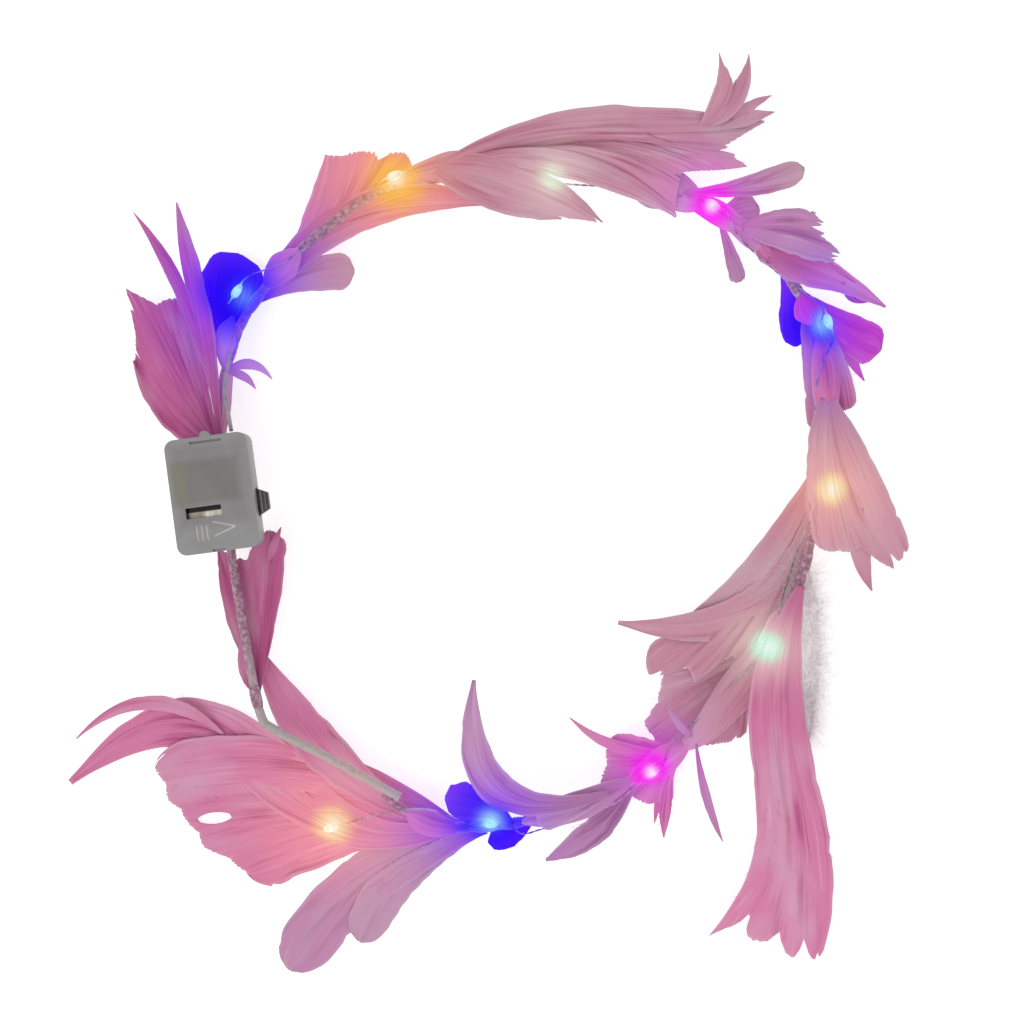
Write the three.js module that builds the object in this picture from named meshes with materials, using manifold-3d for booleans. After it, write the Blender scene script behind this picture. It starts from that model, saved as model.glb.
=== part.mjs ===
// Light-up feather crown lying flat: a bent ring wire, a string of ten lights, a battery box and 28 bunches
// of dyed feathers. Millimetres, +Z up. The plan is laid out about the middle of the ring.
import * as THREE from 'three';
import { mergeVertices } from 'three/addons/utils/BufferGeometryUtils.js';
import Module from 'manifold-3d';

const wasm = await Module();
wasm.setup();

// Ring wire
const RING_WIRE = 3;
const RING_SIDES = 8;
const RING_STEPS = 62;

// Sleeve that binds a feather to the ring
const SLEEVE_IN = 2;
const SLEEVE_OUT = 2.7;
const SLEEVE_LONG = 5;
const SLEEVE_SIDES = 6;
const ROOT_LIFT = (SLEEVE_IN + SLEEVE_OUT) / 2;

// Feather vanes
const VANE = 0.8;

// Light string
const LIGHT_WIRE = 0.7;
const LIGHT_WIRE_STEPS = 118;
const LIGHT_WIRE_SIDES = 6;
const LIGHT_STRAIGHT = 2.4;
const LED = { long: 5, wide: 2.6, bore: 1.6, sides: 6, belly: -0.1, shoulderOut: 0.75, shoulderUp: 0.75 };
const LEAD = 1.2;
const LEAD_STEPS = 12;
const LEAD_SIDES = 8;

// Battery box, in its own frame: x across, y along, z up from the underside
const BOX = { x: -94.9, y: 5.5, up: 18, turn: 7.6, wide: 25, long: 35, corner: 3, cornerSteps: 4 };
const CASE_TALL = 8.4;
const LID_GAP = 0.3;
const LID_THICK = 1.5;
const CELL = { radius: 10, thick: 3.2, y: -4.6, sides: 24 };
const CELL_PLAY = 0.4;
const CELL_GAP = 0.1;
const WINDOW = { x: -3.2, y: -5.1, wide: 10.8, long: 3.3 };
const THUMB = { radius: 1.6, sides: 12, slotWide: 9.6, slotLong: 0.7, slotDeep: 0.7, slotIn: 1.6 };
const NOTCH = { wide: 4, long: 0.8 };
const GROOVE = { wide: 0.6, deep: 0.5 };
const ARROW = { x: 2.2, y: -10.6, long: 7, wide: 4.6 };
const RIBS = { x: -3, y: -11.6, count: 3, pitch: 1.5, long: 5 };
const SWITCH = { y: -4.1, tall: 3, stem: 4, base: 8, end: 5, out: 3.1, deep: 2.2, travel: 2, play: 0.4 };
const CLIP = { at: 181, wide: 6, long: 5 };
const TOUCH = 0.3;

// Ring rows, from the visible cut end to the hidden one: at is the bearing from the middle of the ring in
// degrees, out the distance from it, up the height of the wire's middle above the floor
const RING_ROWS = [
  // at, out, up
  [246, 96, 17.2],
  [231, 97.5, 15.6],
  [221, 103, 13.8],
  [217, 103.5, 13.2],
  [206, 96.5, 13],
  [189, 92.5, 13],
  [174, 94.5, 13],
  [160, 100, 13],
  [147, 106, 13],
  [131, 107.5, 13],
  [114, 109.5, 13],
  [99, 109.5, 13],
  [84, 107, 13],
  [68, 109, 13],
  [52, 110, 13],
  [38, 108, 13],
  [25, 102, 13],
  [8, 92.5, 13],
  [-12, 87.5, 13],
  [-30, 85.5, 13],
  [-52, 87, 13],
  [-74, 90.5, 13],
  [-91, 96, 13],
  [-105, 101, 13],
  [-112, 100, 12.7],
  [-117, 98, 12.4],
];

// Route of the light wire beside the ring: at is the bearing on the ring, out and up the offsets from the
// ring wire's middle, and light the colour of the drop that sits there
const STRING_ROWS = [
  // at, out, up, light
  [142.3, 5.6, 4.4, 'blue'],
  [134, 0, 3.8, null],
  [122, -2, 3, null],
  [111.6, 1.6, 4.4, 'warm'],
  [107.4, -3.2, 1.6, null],
  [103, -4, 0, null],
  [96, -4, 0, null],
  [85.5, -4.6, 0, 'green'],
  [74, -3.6, 0.4, null],
  [66, -2.6, 2.8, null],
  [59, 0.6, 5, 'pink'],
  [53, -2.6, 2.8, null],
  [44, -2.6, 2.8, null],
  [32.6, 3.6, 4.6, 'blue'],
  [25, -2.6, 2.4, null],
  [20, -3.6, 0.4, null],
  [13, -3.4, 0.8, null],
  [9, -2.6, 3.4, null],
  [4.4, 2, 4.4, 'warm'],
  [-3, -2.4, 2.6, null],
  [-15, -3.6, 0.4, null],
  [-22, -2.6, 2.4, null],
  [-29.5, -0.8, 4, 'green'],
  [-38, -2.6, 2.6, null],
  [-50, -3.6, 0.6, null],
  [-58, -3.4, 1.6, null],
  [-64.2, 0.4, 4.4, 'pink'],
  [-72, 3.6, 0.4, null],
  [-80, 3.6, 0.4, null],
  [-88, 3.6, 0.4, null],
  [-91.2, 3.2, 2.6, null],
  [-96, -1.8, 6, 'blue'],
];

// Free end of the string, which crosses the big fan and carries the last light; x and y in plan
const FREE_END_ROWS = [
  // x, y, up
  [-30, -91.5, 17],
  [-41, -92.5, 14],
  [-50, -95, 11],
  [-55.5, -96.9, 9.6],
];
const LAST_LIGHT = { x: -61.2, y: -98.7, up: 9, toward: 197.5, light: 'warm' };

// Lead from the end of the box to the string; x and y in plan
const LEAD_ROWS = [
  // x, y, up
  [-90, 24.6, 22.4],
  [-91, 30, 22],
  [-92.4, 37, 20.6],
  [-91.8, 43.5, 19.4],
  [-91, 50, 18.4],
  [-90.8, 56, 17.6],
];

// Outlines of a vane: share of its full width at each station along it
const OUTLINES = {
  // a pointed vane
  blade: [[0, 0.14], [0.2, 0.5], [0.5, 1], [0.75, 0.8], [0.9, 0.42], [1, 0.04]],
  // a vane with a round end
  paddle: [[0, 0.12], [0.3, 0.5], [0.65, 0.92], [0.85, 1], [0.95, 0.75], [1, 0.35]],
  // a vane that opens to a blunt, torn end
  fan: [[0, 0.12], [0.3, 0.45], [0.65, 0.85], [0.9, 1], [1, 0.75]],
  // a long vane, broad for most of its length
  oar: [[0, 0.26], [0.2, 0.7], [0.45, 0.94], [0.7, 1], [0.9, 0.78], [1, 0.3]],
  // a short round vane
  petal: [[0, 0.14], [0.3, 0.6], [0.55, 1], [0.8, 0.95], [0.95, 0.6], [1, 0.25]],
  // a vane as wide at its root as at its end
  ribbon: [[0, 0.75], [0.3, 0.95], [0.7, 1], [0.9, 0.85], [1, 0.55]],
  // a tip that parts from a vane
  wisp: [[0, 0.7], [0.3, 1], [0.6, 0.8], [0.85, 0.4], [1, 0.06]],
};

const OVER = 1;
const UNDER = -1;

// Each feather is bound over or under the ring at a bearing, and has one row for each vane or split tip.
// from is the share of the first vane's length where a tip parts from it, 0 for a vane that starts at the
// root; toward is its bearing in plan; reach its length to the tip; bow and sway its side bulge and its
// S curve, both to the left; wide its full width; tipUp the height of the tip above the floor; arch its
// rise at the middle.
const FEATHERS = {
  feather_upper_left: { at: 136, side: UNDER, dye: 'rose', vanes: [
    // from, toward, reach, bow, sway, outline, wide, tipUp, arch
    [0, 56, 43.5, -3.5, 0, 'fan', 14.5, 12, -4],
    [0, 68, 39, -3.5, 0, 'blade', 8, 12, -3],
    [0, 45, 53, -1.5, 0, 'fan', 15, 6, -2],
    [0, 26, 56, 8, 0, 'blade', 10, 5, -2],
  ] },
  feather_top_long: { at: 105, side: OVER, dye: 'mauve', vanes: [
    [0, 9.5, 105.5, 2, 2, 'blade', 15.5, 0.6, 13],
    [0.86, 98, 19, -2, 0, 'wisp', 8, 18, 0],
    [0.88, 71, 19.5, -1, 0, 'wisp', 6, 14, 0],
    [0.88, 35, 16.5, 1, 0, 'wisp', 4.5, 8, 0],
    [0.84, 19, 20.5, 0.5, 0, 'wisp', 6, 2, 0],
    [0.6, -18, 36, -1, 0, 'wisp', 11, 16, 0],
    [0.42, -20, 42, 4, 0, 'ribbon', 15, 21, 0],
    [0, -11.5, 76, 11.5, 0, 'blade', 13, 17, 6],
    [0, -18, 54, 2, 0, 'blade', 16, 15, 5],
    [0, -31, 25, -1.5, 0, 'petal', 13, 17, 2],
  ] },
  feather_paddle_left: { at: 142, side: UNDER, dye: 'mauve', vanes: [
    [0, 19, 32, 3, 0, 'paddle', 12, 6, -1],
  ] },
  feather_right_blade: { at: 64.5, side: OVER, dye: 'rose', vanes: [
    [0, 8, 37, -2, 0, 'paddle', 8, 26, 0],
  ] },
  feather_drop: { at: 57.5, side: UNDER, dye: 'rose', vanes: [
    [0, -71, 22, 0.5, 0, 'paddle', 7, 8, -1],
    [0, 12, 14, 0, 0, 'petal', 11, 7, -1.5],
  ] },
  feather_shoulder: { at: 53, side: OVER, dye: 'mauve', vanes: [
    [0, -16, 31.5, 0, 0, 'fan', 10.5, 18, 7],
    [0, 0, 24.5, 0.5, 0, 'fan', 8, 20, 4],
  ] },
  feather_barb: { at: 47, side: OVER, dye: 'rose', vanes: [
    [0, -24, 39, 0, 0, 'blade', 11, 11, 4],
    [0.6, -29, 10.5, -1, 0, 'wisp', 5, 10, 0],
  ] },
  feather_petal_inner: { at: 43.5, side: UNDER, dye: 'violet', vanes: [
    [0, -77, 23.5, 2, 0, 'petal', 7.5, 6, -2.5],
  ] },
  feather_petal_right: { at: 40, side: UNDER, dye: 'violet', vanes: [
    [0, -34.5, 33.5, -1, 0, 'paddle', 14, 8, -3],
    [0.5, -62, 20.5, -0.5, 0, 'wisp', 4.5, 6, 0],
  ] },
  feather_neck: { at: 36, side: UNDER, dye: 'rose', vanes: [
    [0, -81, 34.5, 0.5, 0, 'petal', 9, 8, 0],
    [0, -68, 33, 2.5, 0, 'petal', 7, 9, 0],
  ] },
  feather_bell: { at: 20, side: OVER, dye: 'mauve', vanes: [
    [0, -66, 58, -4.5, 0, 'fan', 15, 2, 9],
    [0, -64, 56, -1.5, 0, 'fan', 11, 4, 9],
    [0, -86, 47, -3, 0, 'fan', 14, 15, 6],
    [0.6, -76, 27, -2, 0, 'wisp', 7, 0.4, 0],
  ] },
  feather_sweep: { at: 7.6, side: UNDER, dye: 'mauve', vanes: [
    [0, -130, 80, 7.5, 0, 'fan', 17, 7, -1.5],
    [0, -143.5, 78.5, 21.5, 0, 'blade', 13, 10, -2.5],
    [0, -121, 77, 5, 0, 'blade', 13, 9.6, -2.5],
  ] },
  feather_fluff: { at: -10, side: UNDER, dye: 'down', vanes: [
    [0, -85, 58, 1.5, 0, 'wisp', 9.5, 3, -0.9],
  ] },
  feather_tail: { at: -15, side: OVER, dye: 'rose', vanes: [
    [0, -90, 118, -5, -2, 'oar', 18, 0.4, 12],
    [0.62, -120, 44, 3.5, 0, 'wisp', 7.5, 0.4, 0],
    [0, -95.5, 114, -3.5, -5, 'oar', 12, 0.4, 12],
    [0, -86.5, 118, -6.5, -3, 'oar', 12.5, 0.4, 12],
  ] },
  feather_down: { at: -28, side: UNDER, dye: 'mauve', vanes: [
    [0, -113, 36, -3, 0, 'fan', 15.5, 3, -2],
    [0, -136, 34, 0, 0, 'fan', 15.5, 2.4, -3],
  ] },
  feather_strand: { at: -53.4, side: OVER, dye: 'violet', vanes: [
    [0, -74, 35, -0.5, 0, 'blade', 3.5, 6, 2],
  ] },
  feather_nest: { at: -58.5, side: UNDER, dye: 'rose', vanes: [
    [0, -158, 25, 3, 0, 'fan', 17, 6, -2],
    [0, 161, 34, 3, 0, 'blade', 8, 11, -1],
    [0, 100, 17, 0, 0, 'fan', 15, 7.5, 0],
    [0, -95, 30, -0.5, 0, 'blade', 7.5, 4, -1],
  ] },
  feather_leaf: { at: -67, side: UNDER, dye: 'violet', vanes: [
    [0, -136.5, 39, 4, 0, 'blade', 9.5, 8, -2],
  ] },
  feather_curl: { at: -73, side: OVER, dye: 'violet', vanes: [
    [0, 139.5, 55.5, 21, 0, 'blade', 11.5, 30, 2],
    [0, -161, 25, 1, 0, 'fan', 8.5, 17, 0.5],
  ] },
  feather_petal_low: { at: -88.5, side: UNDER, dye: 'violet', vanes: [
    [0, -150, 16.5, 1.5, 0, 'petal', 7.5, 7.6, -0.3],
  ] },
  feather_petal_blue: { at: -92.5, side: OVER, dye: 'violet', vanes: [
    [0, 158, 22.5, -2, 0, 'petal', 12.5, 16.2, 0.6],
  ] },
  feather_low_paddle: { at: -97, side: UNDER, dye: 'mauve', vanes: [
    [0, -142, 78.5, -7, 0, 'oar', 19, 1.2, -4.4],
  ] },
  feather_fan: { at: -101.5, side: UNDER, dye: 'rose', vanes: [
    [0, 174.5, 124.5, -13, 13.5, 'blade', 20.5, 0.4, -3],
    [0.62, 180, 45, -11, 0, 'wisp', 5, 8, 2],
    [0, 173, 97, -9, 0, 'paddle', 20.5, 2, -3],
    [0, 180, 87, -4, 0, 'paddle', 11, 1.5, -3],
    [0, -174, 82, -4.5, 0, 'paddle', 14, 1.5, -3],
    [0, -166.5, 70, -4.5, 0, 'paddle', 17.5, 1.5, -3],
  ] },
  feather_inner_leaf: { at: -107, side: UNDER, dye: 'rose', vanes: [
    [0, 135, 76, 8, 0, 'blade', 15, 6, -1],
  ] },
  feather_sheath: { at: 213.5, side: UNDER, dye: 'rose', vanes: [
    [0, 86, 52, -0.5, 0, 'fan', 12, 12, -1],
    [0, 105, 48, -1.5, 0, 'blade', 10.5, 9, -1],
    [0, 104, 19, 2, 0, 'wisp', 3.5, 11, 0],
    [0.8, 68, 12, 0, 0, 'wisp', 3, 13, 0],
  ] },
  feather_plume_left: { at: 169, side: OVER, dye: 'rose', vanes: [
    [0, 117, 54, 0, 0, 'ribbon', 16.5, 6, 1],
    [0, 108.5, 75.5, -6, 0, 'blade', 6.5, 28, -3],
    [0, 98, 74.5, 0.5, 0, 'blade', 7.5, 33, -3],
    [0.75, 131, 22, -1, 0, 'wisp', 7.5, 4, 0],
    [0, 131, 39, 3.5, 0, 'fan', 13, 0.4, 0],
  ] },
  feather_spikes: { at: 155, side: OVER, dye: 'mauve', vanes: [
    [0, -10, 15, 3.5, 0, 'wisp', 3.5, 18, 0],
    [0, -30, 11, 1.5, 0, 'wisp', 3, 17, 0],
  ] },
  feather_petal_left: { at: 151, side: UNDER, dye: 'violet', vanes: [
    [0, 87, 30.5, 2.5, 0, 'petal', 21, 6, -2],
    [0, 111, 32.5, 3.5, 0, 'petal', 7, 10, -1],
  ] },
};

// Stations along a vane, closer together near its ends, and along a split tip
const VANE_STATIONS = [0, 0.2, 0.45, 0.7, 0.9, 1];
const TIP_STATIONS = [0, 0.35, 0.7, 1];

// Colours and surfaces
const FINISHES = {
  rose: { color: '#b8477f', roughness: 0.7, metalness: 0 },
  mauve: { color: '#b5809c', roughness: 0.75, metalness: 0 },
  violet: { color: '#8a4bb0', roughness: 0.7, metalness: 0 },
  down: { color: '#c3b4bd', roughness: 0.9, metalness: 0 },
  sleeving: { color: '#cfd0d2', roughness: 0.4, metalness: 0 },
  silverWire: { color: '#c9c4c0', roughness: 0.3, metalness: 1 },
  lead: { color: '#dcdcd8', roughness: 0.5, metalness: 0 },
  caseWhite: { color: '#d5d8d4', roughness: 0.45, metalness: 0 },
  steel: { color: '#b9b6b0', roughness: 0.25, metalness: 1 },
  black: { color: '#17171a', roughness: 0.5, metalness: 0 },
};
const LIGHT_COLOURS = { blue: '#2a30ff', warm: '#ffd27a', green: '#c9ffd8', pink: '#ff3cf0' };

function material(finish) {
  return new THREE.MeshStandardMaterial({ ...finish, color: new THREE.Color(finish.color) });
}

// Solids

function solidOf(geometry) {
  const bare = geometry.clone();
  bare.deleteAttribute('normal');
  bare.deleteAttribute('uv');
  const merged = mergeVertices(bare, 1e-4);
  return new wasm.Manifold(new wasm.Mesh({
    numProp: 3,
    vertProperties: new Float32Array(merged.attributes.position.array),
    triVerts: new Uint32Array(merged.index.array),
  }));
}

function geometryOf(solid) {
  const mesh = solid.getMesh();
  const geometry = new THREE.BufferGeometry();
  geometry.setAttribute('position', new THREE.BufferAttribute(new Float32Array(mesh.vertProperties), 3));
  geometry.setIndex(new THREE.BufferAttribute(new Uint32Array(mesh.triVerts), 1));
  return geometry;
}

function meshOf(name, geometry, finish) {
  const mesh = new THREE.Mesh(geometry, material(finish));
  mesh.name = name;
  return mesh;
}

function roundShape(radius, sides) {
  const points = [];
  for (let i = 0; i < sides; i += 1) {
    const angle = (2 * Math.PI * (i + 0.5)) / sides;
    points.push(new THREE.Vector2(radius * Math.cos(angle), radius * Math.sin(angle)));
  }
  return new THREE.Shape(points);
}

function tube(points, diameter, sides, steps) {
  const path = new THREE.CatmullRomCurve3(points);
  return new THREE.ExtrudeGeometry(roundShape(diameter / 2, sides), { steps, extrudePath: path });
}

function slab(thick) {
  const { wide, long, corner, cornerSteps } = BOX;
  const shape = new THREE.Shape();
  const x = wide / 2;
  const y = long / 2;
  shape.moveTo(-x + corner, -y);
  shape.lineTo(x - corner, -y);
  shape.absarc(x - corner, -y + corner, corner, -Math.PI / 2, 0);
  shape.lineTo(x, y - corner);
  shape.absarc(x - corner, y - corner, corner, 0, Math.PI / 2);
  shape.lineTo(-x + corner, y);
  shape.absarc(-x + corner, y - corner, corner, Math.PI / 2, Math.PI);
  shape.lineTo(-x, -y + corner);
  shape.absarc(-x + corner, -y + corner, corner, Math.PI, 1.5 * Math.PI);
  return new THREE.ExtrudeGeometry(shape, { depth: thick, bevelEnabled: false, curveSegments: cornerSteps });
}

function block(wide, long, tall) {
  return new THREE.BoxGeometry(wide, long, tall);
}

// Ring

const radians = THREE.MathUtils.degToRad;

function plan(at, out, up) {
  return new THREE.Vector3(out * Math.cos(radians(at)), out * Math.sin(radians(at)), up);
}

const ringPoints = RING_ROWS.map(([at, out, up]) => plan(at, out, up));
const ringCurve = new THREE.CatmullRomCurve3(ringPoints, false, 'catmullrom', 0.5);

// Place on the ring at a bearing: the middle of the wire, the way the wire runs and the way out
function ringPlace(at) {
  let row = 0;
  while (row < RING_ROWS.length - 2 && RING_ROWS[row + 1][0] > at) row += 1;
  const share = (RING_ROWS[row][0] - at) / (RING_ROWS[row][0] - RING_ROWS[row + 1][0]);
  const t = (row + share) / (RING_ROWS.length - 1);
  const point = ringCurve.getPoint(t);
  const along = ringCurve.getTangent(t);
  const out = new THREE.Vector3(-along.y, along.x, 0).normalize();
  return { point, along, out };
}

function beside(at, out, up) {
  const place = ringPlace(at);
  return place.point.clone().addScaledVector(place.out, out).add(new THREE.Vector3(0, 0, up));
}

function ringWire() {
  const path = { steps: RING_STEPS, extrudePath: ringCurve };
  const geometry = new THREE.ExtrudeGeometry(roundShape(RING_WIRE / 2, RING_SIDES), path);
  return meshOf('ring_wire', geometry, FINISHES.sleeving);
}

// The room that the ring wire takes in what is bound to it
const ringRoom = solidOf(new THREE.ExtrudeGeometry(roundShape(SLEEVE_IN, SLEEVE_SIDES), {
  steps: RING_STEPS, extrudePath: ringCurve,
}));

// A short sleeve on the ring wire, turned to run along it and not bored yet
function sleeve(at, long) {
  const geometry = new THREE.CylinderGeometry(SLEEVE_OUT, SLEEVE_OUT, long, SLEEVE_SIDES);
  const place = ringPlace(at);
  const turn = new THREE.Quaternion().setFromUnitVectors(new THREE.Vector3(0, 1, 0), place.along);
  geometry.applyQuaternion(turn);
  geometry.translate(place.point.x, place.point.y, place.point.z);
  return geometry;
}

// Feathers

function outlineShare(outline, t) {
  const rows = OUTLINES[outline];
  const next = Math.max(1, rows.findIndex(([along]) => along >= t));
  const [alongA, shareA] = rows[next - 1];
  const [alongB, shareB] = rows[next];
  return shareA + ((shareB - shareA) * (t - alongA)) / (alongB - alongA);
}

function vane(row, feather, first) {
  const [from, toward, reach, bow, sway, outline, wide, tipUp, arch] = row;
  const root = ringPlace(feather.at).point.clone();
  root.z += feather.side * ROOT_LIFT;
  const start = from === 0 ? root : first.pointAt(from);
  const ahead = new THREE.Vector3(Math.cos(radians(toward)), Math.sin(radians(toward)), 0);
  const left = new THREE.Vector3(-ahead.y, ahead.x, 0);
  const pointAt = (t) => {
    const hump = 4 * t * (1 - t);
    const point = start.clone().addScaledVector(ahead, reach * t);
    point.addScaledVector(left, bow * hump + sway * Math.sin(2 * Math.PI * t));
    point.z = start.z + (tipUp - start.z) * t + arch * hump;
    return point;
  };
  return { from, outline, wide, pointAt };
}

// Closed strip along a vane: each station has a left and a right edge, above and below
function vaneGeometry({ from, outline, wide, pointAt }) {
  const stations = from === 0 ? VANE_STATIONS : TIP_STATIONS;
  const positions = [];
  for (const t of stations) {
    const step = 1e-3;
    const along = pointAt(Math.min(1, t + step)).sub(pointAt(Math.max(0, t - step))).normalize();
    const across = new THREE.Vector3(-along.y, along.x, 0).normalize();
    const above = new THREE.Vector3().crossVectors(along, across).normalize();
    const half = (wide / 2) * outlineShare(outline, t);
    const section = [[half, VANE / 2], [-half, VANE / 2], [-half, -VANE / 2], [half, -VANE / 2]];
    for (const [side, lift] of section) {
      const corner = pointAt(t).addScaledVector(across, side).addScaledVector(above, lift);
      positions.push(corner.x, corner.y, corner.z);
    }
  }
  const count = 4;
  const last = (stations.length - 1) * count;
  const index = [];
  for (let s = 0; s < last; s += count) {
    for (let i = 0; i < count; i += 1) {
      const j = (i + 1) % count;
      index.push(s + i, s + j, s + count + j, s + i, s + count + j, s + count + i);
    }
  }
  for (const [a, b, c] of [[0, 1, 2], [0, 2, 3]]) {
    index.push(a, c, b, last + a, last + b, last + c);
  }
  const geometry = new THREE.BufferGeometry();
  geometry.setAttribute('position', new THREE.Float32BufferAttribute(positions, 3));
  geometry.setIndex(index);
  return geometry;
}

function featherMesh(name, feather) {
  let solid = solidOf(sleeve(feather.at, SLEEVE_LONG));
  let first = null;
  for (const row of feather.vanes) {
    const made = vane(row, feather, first);
    first = first ?? made;
    solid = solid.add(solidOf(vaneGeometry(made)));
  }
  return meshOf(name, geometryOf(solid.subtract(ringRoom)), FINISHES[feather.dye]);
}

// Lights

function ledGeometry() {
  const half = LED.long / 2;
  const belly = LED.wide / 2;
  const bore = LED.bore / 2;
  const shoulder = belly * LED.shoulderOut;
  const shoulderUp = half * LED.shoulderUp;
  const profile = [
    [bore, -half],
    [shoulder, -shoulderUp],
    [belly, half * LED.belly],
    [shoulder, shoulderUp],
    [bore, half],
    [bore, -half],
  ];
  return new THREE.LatheGeometry(profile.map(([r, y]) => new THREE.Vector2(r, y)), LED.sides);
}

function led(number, point, along, light) {
  const name = `led_${String(number).padStart(2, '0')}`;
  const finish = { color: LIGHT_COLOURS[light], roughness: 0.15, metalness: 0 };
  const mesh = meshOf(name, ledGeometry(), finish);
  mesh.position.copy(point);
  mesh.quaternion.setFromUnitVectors(new THREE.Vector3(0, 1, 0), along);
  return mesh;
}

// The wire runs straight through each drop, so a light gives three points of its route
function lightString() {
  const group = new THREE.Group();
  const route = [];
  let number = 0;
  const addLight = (before, after, light) => {
    const along = after.clone().sub(before).normalize();
    number += 1;
    const centre = before.clone().lerp(after, 0.5);
    group.add(led(number, centre, along, light));
    route.push(before, centre, after);
  };
  for (const [at, out, up, light] of STRING_ROWS) {
    if (light) {
      addLight(beside(at + LIGHT_STRAIGHT, out, up), beside(at - LIGHT_STRAIGHT, out, up), light);
    } else {
      route.push(beside(at, out, up));
    }
  }
  for (const [x, y, up] of FREE_END_ROWS) route.push(new THREE.Vector3(x, y, up));
  const middle = new THREE.Vector3(LAST_LIGHT.x, LAST_LIGHT.y, LAST_LIGHT.up);
  const ahead = plan(LAST_LIGHT.toward, LED.long / 2, 0);
  addLight(middle.clone().sub(ahead), middle.clone().add(ahead), LAST_LIGHT.light);
  const wire = tube(route, LIGHT_WIRE, LIGHT_WIRE_SIDES, LIGHT_WIRE_STEPS);
  group.add(meshOf('led_wire', wire, FINISHES.silverWire));
  return group;
}

function leadWire() {
  const points = LEAD_ROWS.map(([x, y, up]) => new THREE.Vector3(x, y, up));
  return meshOf('lead_wire', tube(points, LEAD, LEAD_SIDES, LEAD_STEPS), FINISHES.lead);
}

// Battery box

function batteryCase() {
  let solid = solidOf(slab(CASE_TALL));
  const pocketDeep = CELL.thick + CELL_PLAY;
  const pocketRadius = CELL.radius + CELL_PLAY;
  const pocket = new THREE.CylinderGeometry(pocketRadius, pocketRadius, 2 * pocketDeep, CELL.sides);
  pocket.rotateX(Math.PI / 2);
  pocket.translate(0, CELL.y, CASE_TALL);
  const slotLong = SWITCH.stem + 2 * (SWITCH.travel + SWITCH.play);
  const slot = block(2 * SWITCH.deep, slotLong, SWITCH.tall + 2 * SWITCH.play);
  slot.translate(BOX.wide / 2, SWITCH.y, CASE_TALL / 2 - SWITCH.play);
  solid = solid.subtract(solidOf(pocket)).subtract(solidOf(slot));
  return meshOf('battery_case', geometryOf(solid), FINISHES.caseWhite);
}

// Two arms that meet in a point, and a row of short ribs behind them
function lidGrooves() {
  const grooves = [];
  const spread = ARROW.wide / 2;
  for (const side of [-1, 1]) {
    const arm = block(Math.hypot(ARROW.long, spread), GROOVE.wide, 2 * GROOVE.deep);
    arm.rotateZ(-side * Math.atan2(spread, ARROW.long));
    arm.translate(ARROW.x, ARROW.y + (side * spread) / 2, LID_THICK);
    grooves.push(arm);
  }
  for (let i = 0; i < RIBS.count; i += 1) {
    const rib = block(GROOVE.wide, RIBS.long, 2 * GROOVE.deep);
    rib.translate(RIBS.x - i * RIBS.pitch, RIBS.y, LID_THICK);
    grooves.push(rib);
  }
  return grooves;
}

function batteryLid() {
  let solid = solidOf(slab(LID_THICK));
  const tab = new THREE.CylinderGeometry(THUMB.radius, THUMB.radius, LID_THICK, THUMB.sides);
  tab.rotateX(Math.PI / 2);
  tab.translate(0, BOX.long / 2, LID_THICK / 2);
  solid = solid.add(solidOf(tab));
  const opening = block(WINDOW.wide, WINDOW.long, 3 * LID_THICK);
  opening.translate(WINDOW.x, WINDOW.y, 0);
  const slot = block(THUMB.slotWide, THUMB.slotLong, 2 * THUMB.slotDeep);
  slot.translate(0, BOX.long / 2 - THUMB.slotIn, LID_THICK);
  const notch = block(NOTCH.wide, 2 * NOTCH.long, 3 * LID_THICK);
  notch.translate(0, -BOX.long / 2, 0);
  for (const cut of [opening, slot, notch, ...lidGrooves()]) {
    solid = solid.subtract(solidOf(cut));
  }
  const mesh = meshOf('battery_lid', geometryOf(solid), FINISHES.caseWhite);
  mesh.position.z = CASE_TALL + LID_GAP;
  return mesh;
}

function coinCell() {
  const geometry = new THREE.CylinderGeometry(CELL.radius, CELL.radius, CELL.thick, CELL.sides);
  geometry.rotateX(Math.PI / 2);
  const mesh = meshOf('coin_cell', geometry, FINISHES.steel);
  mesh.position.set(0, CELL.y, CASE_TALL - CELL.thick / 2 - CELL_GAP);
  return mesh;
}

function switchKnob() {
  const side = BOX.wide / 2 + TOUCH;
  const shape = new THREE.Shape();
  shape.moveTo(side - SWITCH.deep, -SWITCH.stem / 2);
  shape.lineTo(side, -SWITCH.stem / 2);
  shape.lineTo(side, -SWITCH.base / 2);
  shape.lineTo(side + SWITCH.out, -SWITCH.end / 2);
  shape.lineTo(side + SWITCH.out, SWITCH.end / 2);
  shape.lineTo(side, SWITCH.base / 2);
  shape.lineTo(side, SWITCH.stem / 2);
  shape.lineTo(side - SWITCH.deep, SWITCH.stem / 2);
  const geometry = new THREE.ExtrudeGeometry(shape, { depth: SWITCH.tall, bevelEnabled: false });
  const mesh = meshOf('switch_knob', geometry, FINISHES.black);
  mesh.position.set(0, SWITCH.y, CASE_TALL / 2 - SWITCH.play - SWITCH.tall / 2);
  return mesh;
}

// Saddle on the ring under the box
function boxClip() {
  const place = ringPlace(CLIP.at);
  const top = BOX.up - TOUCH;
  const foot = place.point.z;
  const post = block(CLIP.wide, CLIP.long, top - foot);
  post.translate(place.point.x, place.point.y, (top + foot) / 2);
  const solid = solidOf(sleeve(CLIP.at, CLIP.long)).add(solidOf(post)).subtract(ringRoom);
  return meshOf('box_clip', geometryOf(solid), FINISHES.caseWhite);
}

// Crown

const design = new THREE.Group();
design.add(ringWire());
for (const [name, feather] of Object.entries(FEATHERS)) design.add(featherMesh(name, feather));
design.add(lightString());
design.add(leadWire());
design.add(boxClip());

const box = new THREE.Group();
box.position.set(BOX.x, BOX.y, BOX.up);
box.rotation.z = radians(BOX.turn);
box.add(batteryCase(), batteryLid(), coinCell(), switchKnob());
design.add(box);

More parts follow.
